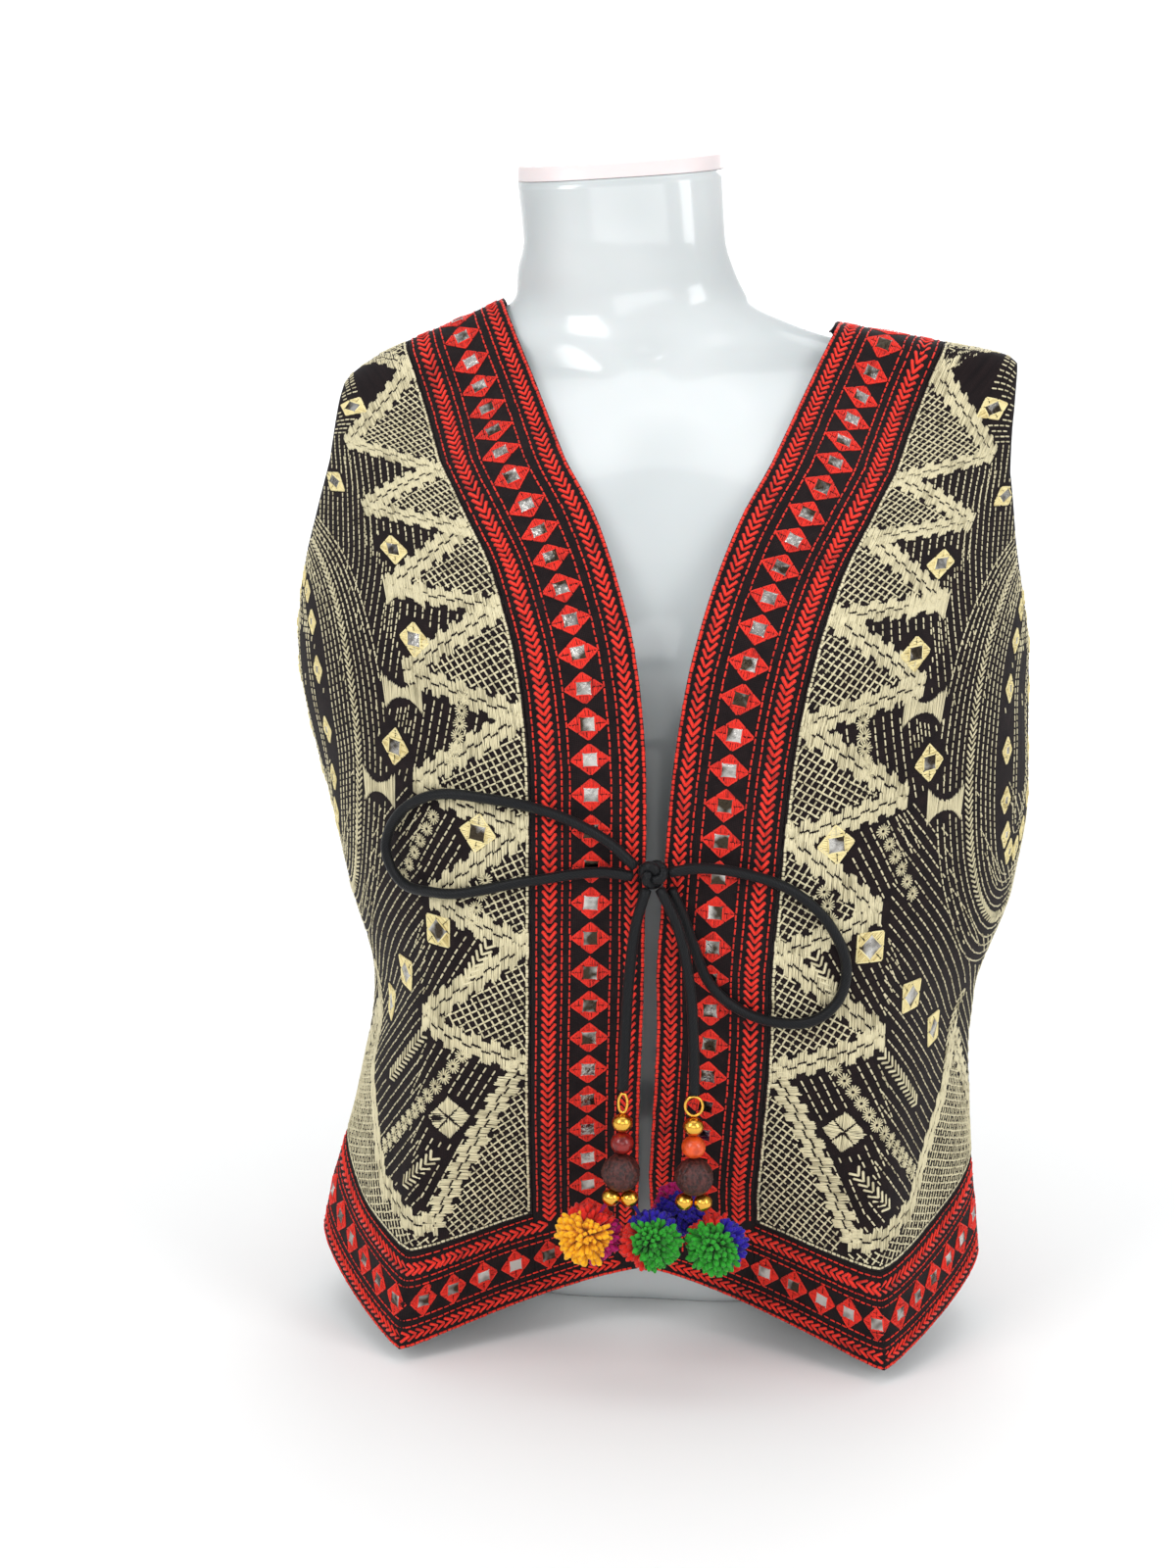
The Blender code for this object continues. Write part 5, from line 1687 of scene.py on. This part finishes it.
ENDS = {
    "left": [(-2.5, 271.5), (-6.5, 257), (-10, 225), (-11, 195), (-11.5, 168)],
    "right": [(4.2, 272), (13, 254), (20, 225), (23, 195), (24, 167)],
}


class Bead(NamedTuple):
    """A bead: the solid that it stands for, its middle and radius in mm, and height to width."""

    node: str
    x: float
    z: float
    radius: float
    squash: float
    finish: Finish


BEADS = {
    "left": [
        Bead("bead_gold_left", -11.5, 150.6, 5.2, 0.92, GILT),
        Bead("bead_red_left", -11.4, 139.9, 5.9, 0.95, RED_LACQUER),
        Bead("bead_small_left_a", -16.3, 110.8, 4.7, 0.95, GILT),
        Bead("bead_small_left_b", -6.9, 110.6, 4.7, 0.95, GILT),
    ],
    "right": [
        Bead("bead_gold_right", 24.2, 150.1, 5.2, 0.92, GILT),
        Bead("bead_orange_right", 24.6, 139.3, 6.1, 0.95, ORANGE_RESIN),
        Bead("bead_small_right_a", 20.7, 110.1, 4.7, 0.95, GILT),
        Bead("bead_small_right_b", 30.2, 110.0, 4.7, 0.95, GILT),
    ],
}
CARVED = {
    "left": Bead("seed_left", -11.6, 124.2, 10.0, 0.98, CARVED_SEED),
    "right": Bead("seed_right", 25.4, 123.5, 10.0, 0.98, CARVED_SEED),
}


class Tint(NamedTuple):
    """A wool on the side of a pompom that faces a direction."""

    wool: Wool
    x: float
    y: float
    z: float


class Pompom(NamedTuple):
    """A pompom: its solid, the small bead that it hangs from, its middle and size in mm."""

    node: str
    hung: tuple[float, float]
    x: float
    y: float
    z: float
    radius: float
    tints: tuple[Tint, ...]


POMPOMS = {
    "left": [
        Pompom("pompom_yellow", (-16.3, 110.8), -27.8, -161, 90.0, 16.6, (
            Tint(Wool.YELLOW, -0.25, -1.0, 0.0), Tint(Wool.RED, 0.25, 0.25, 1.0),
            Tint(Wool.MAGENTA, 1.0, 0.1, -0.55),
        )),
        Pompom("pompom_green_left", (-6.9, 110.6), 4.6, -164.5, 89.5, 16.0, (
            Tint(Wool.GREEN, 0.45, -1.0, 0.1), Tint(Wool.RED, -0.9, -0.1, -0.6),
            Tint(Wool.BLUE, 0.2, 0.5, 1.0),
        )),
    ],
    "right": [
        Pompom("pompom_blue", (20.7, 110.1), 19.0, -138.5, 97.0, 14.4, (
            Tint(Wool.BLUE, 0.0, -1.0, 0.3), Tint(Wool.MAGENTA, -0.6, 0.2, 1.0),
        )),
        Pompom("pompom_green_right", (30.2, 110.0), 37.3, -160.5, 87.0, 16.0, (
            Tint(Wool.GREEN, -0.2, -1.0, 0.0), Tint(Wool.BLUE, 0.95, 0.1, 0.35),
            Tint(Wool.RED, -0.2, 0.8, 0.7),
        )),
    ],
}


@dataclass
class Tie:
    """The black cord bow with its beaded, tasselled ends."""

    radius: float = 2.7 * MM
    step: float = 3.5 * MM
    strands: int = 430

    def build(self) -> dict[str, list]:
        ends = {}
        satin = BLACK_SATIN.make()
        knot = self.knot(satin)
        for side, route in LOOPS.items():
            points = []
            for way in route:
                point, normal = cloth_in_front(way.x * MM, way.z * MM)
                points.append(point + normal * way.off * MM)
            line = smooth_route(points, self.step)
            loop = tube(f"loop_{side}", line, self.radius, satin)
            self.ride(loop, f"tie_loop_{side}")
            float(reach(line)[-1])
        for side, route in ENDS.items():
            line = smooth_route([(x * MM, END_Y * MM, z * MM) for x, z in route], self.step)
            end = tube(f"end_{side}", line, self.radius, satin)
            self.ride(end, f"tie_end_{side}")
            ends[side] = (end, line)
        log.info("bow built")
        return ends

    def ride(self, piece: bpy.types.Object, node: str) -> None:
        """Puts a piece in its solid's place."""
        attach(piece, "root")
        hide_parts(node)

    def knot(self, satin: Material) -> bpy.types.Object:
        """The tight overhand knot at the middle of the bow."""
        point, normal = cloth_in_front(KNOT.x * MM, KNOT.z * MM)
        middle = point + normal * KNOT.off * MM
        t = np.linspace(0, 2 * np.pi, 97)
        wide = 1.85 * MM
        x = (2 + 0.9 * np.cos(3 * t)) * np.cos(2 * t + 0.5) * wide
        z = (2 + 0.9 * np.cos(3 * t)) * np.sin(2 * t + 0.5) * wide
        y = np.sin(3 * t) * 2.3 * MM
        piece = tube("knot", middle + np.stack([x, y, z], -1), 2.5 * MM, satin, around=12)
        self.ride(piece, "tie_knot")
        return piece

    def dress(self, ends: dict[str, list]) -> None:
        for side, (end, line) in ends.items():
            pieces = [self.bead(bead) for bead in BEADS[side]]
            pieces.append(self.seed(CARVED[side]))
            pieces.append(self.clasp(side))
            for pompom in POMPOMS[side]:
                pieces.extend(self.pompom(pompom))
            tuple(line[0])
            float(reach(line)[-1])
        log.info("tie ends dressed")

    def bead(self, bead: Bead) -> bpy.types.Object:
        """A round bead with a small dimple at each end of its hole."""
        turn = np.linspace(-np.pi / 2, np.pi / 2, 23)
        r = bead.radius * MM
        profile = np.stack([r * np.cos(turn), r * bead.squash * np.sin(turn)], -1)
        profile[1:-1, 1] *= np.where(np.abs(profile[1:-1, 1]) > 0.97 * r * bead.squash, 0.985, 1)
        profile[[0, -1], 1] *= 0.93
        material = bpy.data.materials.get(bead.finish.name) or bead.finish.make()
        piece = lathe(bead.node + "_turned", np.array((bead.x, END_Y, bead.z)) * MM, profile, material)
        self.ride(piece, bead.node)
        return piece

    def seed(self, bead: Bead) -> bpy.types.Object:
        """A ribbed seed, its lobes knobbly between deep furrows."""
        turn = np.linspace(-np.pi / 2, np.pi / 2, 49)
        r = bead.radius * MM
        profile = np.stack([r * np.cos(turn), r * bead.squash * np.sin(turn)], -1)

        def swell(t: float, share: float) -> float:
            """Furrows between the lobes, and knobs on them."""
            fade = math.sin(math.pi * share) ** 0.5
            furrow = abs(math.sin(2.5 * t + 0.15 * math.sin(9 * share))) ** 0.35
            knob = math.sin(17 * t + 5 * math.sin(11 * share)) * math.sin(37 * share + 2 * math.sin(7 * t))
            fine = math.sin(41 * t + 23 * share) * math.sin(71 * share - 13 * t)
            return 0.86 + fade * (0.12 * furrow + 0.045 * knob + 0.022 * fine)

        material = bpy.data.materials.get(CARVED_SEED.name) or CARVED_SEED.make()
        centre = np.array((bead.x, END_Y, bead.z)) * MM
        piece = lathe(bead.node + "_carved", centre, profile, material, around=120, swell=swell)
        self.ride(piece, bead.node)
        return piece

    def clasp(self, side: str) -> bpy.types.Object:
        """The gilt jump ring or pin that joins the beads to the cord."""
        x, z = (-11.5, 161.0) if side == "left" else (24.1, 160.8)
        turn = np.linspace(0, 2 * np.pi, 41)
        wide = 2.2 if side == "left" else 4.4
        ring = np.stack([x + wide * np.cos(turn), np.full(41, float(END_Y)), z + 5.0 * np.sin(turn)], -1)
        piece = tube(f"clasp_ring_{side}", ring * MM, 0.75 * MM, bpy.data.materials[GILT.name], around=10)
        self.ride(piece, f"clasp_{side}")
        return piece

    def pompom(self, pompom: Pompom) -> list[bpy.types.Object]:
        """A wool pompom of several yarns, clipped nearly round, on a short yarn stem.

        Args:
            pompom: Its sizes and wools.

        Returns:
            Its pieces: the strands of each wool, then its stem.
        """
        dice = np.random.default_rng(int(pompom.radius * 100 + abs(pompom.x) * 10))
        k = np.arange(self.strands)
        level = 1 - 2 * (k + 0.5) / self.strands
        turn = k * math.pi * (3 - math.sqrt(5))
        flat = np.sqrt(1 - level ** 2)
        way = unit(np.stack([flat * np.cos(turn), flat * np.sin(turn), level], -1)
                   + dice.normal(0, 0.07, (len(k), 3)))
        hint = unit(np.cross(way, dice.normal(0, 1, way.shape)))
        frames = np.stack([hint, np.cross(way, hint), way], -1)
        long = pompom.radius * dice.uniform(0.86, 1.04, len(k))
        long *= 1 - 0.08 * np.clip(way[:, 2], 0, 1)
        middle = np.array((pompom.x, pompom.y, pompom.z)) * MM
        facing = np.array([way @ unit(np.array((t.x, t.y, t.z))) for t in pompom.tints])
        facing += np.array([0.22] + [0.0] * (len(pompom.tints) - 1))[:, None]
        chosen = np.argmax(facing + dice.normal(0, 0.06, facing.shape), axis=0)
        scatter = Scatter(bpy.data.objects.get("yarn_strand") or yarn_shape(), looseness=0.06, seed=9)
        pieces = []
        for number, tint in enumerate(pompom.tints):
            mine = chosen == number
            thick = dice.uniform(1.15, 1.5, mine.sum())
            sizes = np.stack([thick, thick, long[mine] * 0.97], -1) * MM
            piece = scatter.lay(
                f"{pompom.node}_{tint.wool.name.lower()}", np.repeat(middle[None], mine.sum(), 0),
                frames[mine], sizes, tint.wool.make(),
            )
            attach(piece, "root")
            pieces.append(piece)
        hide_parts(pompom.node)
        top = np.array((pompom.hung[0], END_Y, pompom.hung[1])) * MM
        sag = (middle + top) / 2 + np.array((0, 0, 1.2)) * MM
        stem = tube(pompom.node + "_stem", smooth_route([middle, sag, top], 1.5 * MM), 1.0 * MM,
                    pompom.tints[-1].wool.make(), around=8)
        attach(stem, "root")
        pieces.append(stem)
        return pieces


class Leg(NamedTuple):
    """One straight leg of the satin zigzag, from chart place to chart place."""

    u0: float
    v0: float
    u1: float
    v1: float


# The border's running lines, in mm from its outer edge, and the distance between its diamonds.
BORDER_LINES = (12.6, 17.2, 37.6, 41.6, 54.3)
DIAMOND_PITCH = 18.7
# The field's design in chart places: mm out from the border strip, mm up from the hem strip.
ZIGZAG = [
    (30, 556), (2, 520), (61, 460), (5, 437), (68, 404), (5, 391), (67, 349), (2, 340), (64, 301),
    (1, 283), (63, 244), (3, 226), (53, 185), (3, 165), (59, 122), (4, 100), (55, 14), (97, 24),
    (150, 92), (196, 26), (236, 80),
]
STAR_CHAINS = [
    [(31, 290), (40, 257)],
    [(52, 227), (74, 192)],
    [(35, 105), (60, 76), (97, 41)],
    [(30, 176), (23, 198)],
]
WHEAT_CHAINS = [
    [(35, 142), (20, 167)],
    [(95, 76), (58, 114)],
    [(74, 32), (50, 53)],
    [(150, 120), (128, 62)],
]
LOZENGES = [(58, 373), (56, 318), (77, 260), (27, 222)]
SQUARES = [(50, 168), (82, 137), (45, 497), (91, 424), (112, 110)]
BOWS = [(58, 346), (69, 289), (92, 236)]
MEDALLION = (170.0, 272.0)
LINES_OUT = (68.0, 72.6, 77.2, 81.8, 86.4)
LAST_BAY = 15           # the zigzag's point where the bays beside the border end
LINES_IN = (56.0, 51.6, 47.2, 42.8, 38.4, 15.0, 10.5)


@dataclass
class Embroidery:
    """Lays out the gilet's stitching on the charts of its cloth pieces."""

    scatter: Scatter
    seed: int = 20

    def border(self, name: str, strip: Strip) -> Needle:
        """Sews the red border on one strip.

        Args:
            name: The strip's name.
            strip: Its chart.

        Returns:
            The needle with its stitches.
        """
        needle = Needle(strip, np.random.default_rng(self.seed + len(name)))
        end = strip.length
        line = np.arange(0, end, 3.0)

        def along(v: float) -> Array:
            """A path along the strip at a distance from its edge."""
            return np.stack([line, np.full(len(line), v)], -1)

        needle.running(RED_THREAD, along(0.9), 2.6, 0.1, 1.7, clear=False)
        for v in BORDER_LINES:
            needle.running(RED_THREAD, along(v), 3.3, 0.6, SATIN_WIDTH, clear=False)
        needle.wheat(RED_THREAD, along(7.0), 3.2, 4.3, 1.75)
        needle.wheat(RED_THREAD, along(47.9), 3.6, 4.3, 1.9)
        pitch = end / round(end / DIAMOND_PITCH)
        for u in np.arange(pitch / 2, end, pitch):
            needle.lozenge(RED_THREAD, u, 27.2, 16.8, 19.4, 7.4)
        return needle

    def chain(self, needle: Needle, path: Array) -> None:
        """The close beige line that edges the field."""
        needle.running(BEIGE_THREAD, path, 2.3, 0.15, 1.5, clear=False)

    def ladder(self, needle: Needle, leg: Leg, width: float = 11.5) -> None:
        """A leg of the zigzag: two rows of satin blocks, their ends stepped.

        Args:
            needle: The needle of the field.
            leg: Where the leg runs.
            width: Its width across.
        """
        a, b = np.array((leg.u0, leg.v0)), np.array((leg.u1, leg.v1))
        way = b - a
        long = float(np.linalg.norm(way))
        way = way / long
        steep = abs(way[1]) > 0.80
        thread = np.array((1.0, 0.25)) if steep else np.array((0.0, 1.0))
        thread = thread / np.linalg.norm(thread)
        across = abs(way[0] * thread[1] - way[1] * thread[0])
        half = min(width / 2 / across, 9.5)
        step = 0.82 / across
        at = np.arange(-2.0, long + 2.0, step)
        block = np.where((at // 5.2).astype(int) % 2 == 0, 1.0, -1.0) * 1.35
        middle = a + at[:, None] * way + block[:, None] * thread * 0.6
        for sign in (-1, 1):
            reach_out = (half + block * sign * 0.35)[:, None]
            needle.satin(BEIGE_THREAD, middle + sign * thread * 0.25, middle + sign * thread * reach_out)
        for t in np.arange(0, long, 4.0):
            u, v = a + way * t
            needle.taken.append((u, v, width / 2 + 0.5))

    def lattice(self, needle: Needle, corners: Sequence, pitch: float = 3.7) -> None:
        """Crossed threads that fill a polygon with a net."""
        for degrees in (62.0, -28.0):
            self.hatch(needle, corners, degrees, pitch, pitch * 1.02, 0.0, 1.0)

    def hatch(
        self, needle: Needle, corners: Sequence, degrees: float, pitch: float = HATCH_PITCH,
        long: float = 3.4, gap: float = 0.75, width: float = SATIN_WIDTH,
    ) -> None:
        """Fills a polygon with parallel lines of beige stitches.

        Args:
            needle: The needle of the field.
            corners: Chart places of the polygon's corners.
            degrees: Direction of the lines.
            pitch: Distance from line to line.
            long: Length of each stitch.
            gap: Cloth between two stitches.
            width: Width of the stitches.
        """
        turn = math.radians(degrees)
        way = np.array((math.cos(turn), math.sin(turn)))
        side = np.array((-way[1], way[0]))
        ring = np.asarray(corners, float)
        for off in np.arange((ring @ side).min() + pitch / 2, (ring @ side).max(), pitch):
            cuts = []
            for p, q in zip(ring, np.roll(ring, -1, axis=0)):
                dp, dq = p @ side - off, q @ side - off
                if (dp < 0) != (dq < 0):
                    cuts.append(float((p + (q - p) * dp / (dp - dq)) @ way))
            cuts.sort()
            for low, high in zip(cuts[::2], cuts[1::2]):
                path = np.array([side * off + way * low, side * off + way * high])
                needle.running(BEIGE_THREAD, path, long, gap, width)

    def bow(self, needle: Needle, u: float, v: float) -> None:
        """A satin motif, narrow in the middle, between two round spaces."""
        off = np.arange(-13, 13.1, 0.85)
        half = 2.8 + 7.5 * (off / 13) ** 2
        sway = 1.2 * np.sin(off / 3)
        low = np.stack([u + off + sway * 0.4, v - half], -1)
        high = np.stack([u + off - sway * 0.4, v + half], -1)
        needle.satin(BEIGE_THREAD, low, high)
        needle.taken += [(u + k, v, 7.5) for k in (-9, 0, 9)]

    def oval(self, centre: tuple[float, float], wide: float, high: float) -> Array:
        """A closed path, a little squarer than an ellipse, from its lowest point."""
        turn = np.linspace(-np.pi / 2, 1.5 * np.pi, 161)
        c, s = np.cos(turn), np.sin(turn)
        return np.stack([
            centre[0] + wide * np.sign(c) * np.abs(c) ** 0.86,
            centre[1] + high * np.sign(s) * np.abs(s) ** 0.92,
        ], -1)

    def medallion(self, needle: Needle) -> None:
        """The oval of lines, wheat-ear chain and small mirrors at the side of the body."""
        for u, v in self.oval(MEDALLION, 25.0, 76.0)[4::10]:
            needle.lozenge(CREAM_THREAD, u, v, 11.5, 15.5, 4.2)
        needle.wheat(BEIGE_THREAD, self.oval(MEDALLION, 62.0, 112.0)[::-1], 3.2, 3.5, 1.3, clear=True)
        for wide in LINES_OUT + LINES_IN:
            needle.running(BEIGE_THREAD, self.oval(MEDALLION, wide, wide + 50.0), 3.2, 0.6, 1.0)
        for t in np.linspace(0, 2 * np.pi, 60, endpoint=False):
            for ring in (0.2, 0.5, 0.8, 1.0):
                u = MEDALLION[0] + 86.0 * ring * math.cos(t)
                v = MEDALLION[1] + 136.0 * ring * math.sin(t)
                needle.taken.append((u, v, 13.0 if ring < 1 else 5.0))

    def field(self, name: str, chart: FieldChart) -> Needle:
        """Sews the beige design on one field panel.

        Args:
            name: The panel's name.
            chart: Its chart.

        Returns:
            The needle with its stitches.
        """
        needle = Needle(chart, np.random.default_rng(self.seed + 3 * len(name)))
        for (u0, v0), (u1, v1) in zip(ZIGZAG, ZIGZAG[1:]):
            self.ladder(needle, Leg(u0, v0, u1, v1))
        for chain in STAR_CHAINS:
            needle.stars(np.array(chain, float))
        for u, v in LOZENGES:
            needle.lozenge(CREAM_THREAD, u, v, 19.0, 20.0, 8.0, 8.0)
            needle.taken.append((u, v, 12.5))
        for u, v in SQUARES:
            needle.lozenge(CREAM_THREAD, u, v, 21.0, 21.0, 9.0, 45.0)
        for u, v in BOWS:
            self.bow(needle, u, v)
        for chain in WHEAT_CHAINS:
            needle.wheat(BEIGE_THREAD, np.array(chain, float), 3.6, 3.9, 1.5)
            needle.taken += [tuple(p) + (5.0,) for p in np.linspace(chain[0], chain[-1], 8)]
        self.patch(needle, 42.5, 72.0)
        self.medallion(needle)
        self.bays(needle)
        if chart.first > 0:
            up = np.arange(0, chart.up[-1], 3.0)
            self.chain(needle, np.stack([np.full(len(up), 2.0), up], -1))
        out = np.arange(0, 240.0, 3.0)
        self.chain(needle, np.stack([out, np.full(len(out), 2.0)], -1))
        return needle

    def patch(self, needle: Needle, u: float, v: float) -> None:
        """Four small satin squares in one diamond."""
        for du, dv, turn in ((0, 6, 0), (0, -6, 0), (6, 0, 90), (-6, 0, 90)):
            off = np.arange(-5.5, 5.6, 0.8)
            half = 5.6 - np.abs(off)
            a, b = np.stack([off, -half], -1), np.stack([off, half], -1)
            if turn:
                a, b = a[:, ::-1], b[:, ::-1]
            needle.satin(BEIGE_THREAD, a + (u + du, v + dv), b + (u + du, v + dv))
        needle.taken.append((u, v, 13.0))

    def bays(self, needle: Needle) -> None:
        """Nets on the border's side of the zigzag, lines of running stitches on the other."""
        for a, tip, b in zip(ZIGZAG[1:LAST_BAY], ZIGZAG[2:], ZIGZAG[3:]):
            if tip[0] > a[0]:
                self.lattice(needle, [(0, a[1]), tip, (0, b[1])])
            else:
                lean = -74.0 if tip[1] > 240 else -58.0
                outer = (max(a[0], b[0]) + 14, (a[1] + b[1]) / 2)
                self.hatch(needle, [tip, a, outer, b], lean)
        self.lattice(needle, [(0, 96), (52, 16), (46, 3), (0, 3)])
        self.lattice(needle, [(46, 3), (97, 22), (150, 88), (196, 24), (236, 78), (236, 3)])
        self.lattice(needle, [(0, 556), (0, 524), (28, 556)])
        # the wedge under the oval, and what lies above it up to the armhole
        wedge = [(60, 20), (97, 26), (150, 96), (196, 30), (240, 84), (240, 240), (60, 240)]
        self.hatch(needle, wedge, -46.0)
        self.hatch(needle, [(64, 240), (64, 470), (240, 470), (240, 300)], -70.0)
        self.hatch(needle, [(40, 470), (90, 470), (60, 556), (34, 556)], 12.0)


@dataclass
class Gilet:
    """The sleeveless jacket: its cut, its cloth pieces and their stitching."""

    cut: Cut

    def build(self) -> None:
        BLACK_COTTON.make()
        NAVY_LINING.make()
        for finish in (BEIGE_THREAD, RED_THREAD, CREAM_THREAD, SILVER_FOIL):
            finish.make()
        scatter = Scatter(stitch_shape())
        sewing = Embroidery(scatter)
        for side, word in SIDES.items():
            self.front(side, word, sewing)
        self.back(sewing)

    def piece(
        self, name: str, panel: Panel, drawn: str, flat: tuple[float, float], area: float, slot: str,
    ) -> None:
        """Args:
            name: Its name, which its solid's ends with too.
            panel: Its outer face.
            drawn: The edges that are drawn in for a seam.
            flat: Width and length of the rectangle that it is cut from, in metres; not used.
            area: Its flat area in square metres; not used.
            slot: Its material slot; not used.
        """
        cloth = cloth_wall("cloth_" + name, panel, drawn)
        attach(cloth, "root")
        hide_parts(name)
        log.info("%s built", name)

    def front(self, side: int, word: str, sewing: Embroidery) -> None:
        """Builds one front: its field, its border strip and its hem strip."""
        panel = self.cut.fronts[side]
        field_panel = panel.part(slice(HEM, None), slice(BAND, None))
        self.piece(f"front_{word}", field_panel, "btlr", (0.245, 0.49), 0.084, "embroidered_field")
        self.piece(f"front_band_{word}", panel.part(slice(None), slice(0, BAND + 1)), "tr",
                   (0.075, 0.62), 0.0353, "embroidered_band")
        self.piece(f"front_hem_band_{word}", panel.part(slice(0, HEM + 1), slice(BAND, None)), "tlr",
                   (0.2, 0.07), 0.0100, "embroidered_band")
        edge = Strip(panel.part(slice(None), slice(0, BAND + 1)), True)
        sewing.border("edge" + word, edge).build(f"front_band_{word}", sewing.scatter)
        hem = Strip(panel.part(slice(0, HEM + 1), slice(None)).across(), True, FOLD_COLUMN)
        sewing.border("hem" + word, hem).build(f"front_hem_band_{word}", sewing.scatter)
        sewing.field("front" + word, FieldChart(field_panel)).build(f"front_{word}", sewing.scatter)

    def back(self, sewing: Embroidery) -> None:
        """Builds the back: its field, its hem strip and the strip round the neck."""
        left, right = self.cut.backs[LEFT], self.cut.backs[RIGHT]
        whole = self.joined(left, right)
        self.piece("back", whole.part(slice(HEM, None), slice(None)), "btlr", (0.47, 0.43), 0.176,
                   "embroidered_field")
        self.piece("back_hem_band", whole.part(slice(0, HEM + 1), slice(None)), "tlr", (0.48, 0.06),
                   0.0272, "embroidered_band")
        self.piece("back_neck_band", self.joined(self.cut.necks[LEFT], self.cut.necks[RIGHT]), "blr",
                   (0.36, 0.1), 0.0198, "embroidered_band")
        for side, word in SIDES.items():
            half = self.cut.backs[side]
            hem = Strip(half.part(slice(0, HEM + 1), slice(None)).across(), False)
            sewing.border("backhem" + word, hem).build(f"back_hem_{word}", sewing.scatter)
            neck = Strip(self.cut.necks[side].part(slice(None, None, -1), slice(None)).across(), False)
            sewing.border("neck" + word, neck).build(f"back_neck_{word}", sewing.scatter)
            chart = FieldChart(half.part(slice(HEM, None), slice(None)), first=0.0)
            sewing.field("back" + word, chart).build(f"back_{word}", sewing.scatter)

    def joined(self, left: Panel, right: Panel) -> Panel:
        """Both halves of a back piece, sewn as one across the spine."""
        return Panel(
            np.concatenate([left.points[:, ::-1], right.points[:, 1:]], axis=1),
            np.concatenate([left.normals[:, ::-1], right.normals[:, 1:]], axis=1),
        )


def main() -> None:
    """Builds the whole scene."""
    logging.basicConfig(level=logging.INFO, format="%(message)s")
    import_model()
    Studio().build()
    tie = Tie()
    ends = tie.build()
    GILT.make()
    tie.dress(ends)
    cut = Cut()
    cut.draw()
    DressForm().build()
    Gilet(cut).build()


if __name__ == "__main__":
    main()
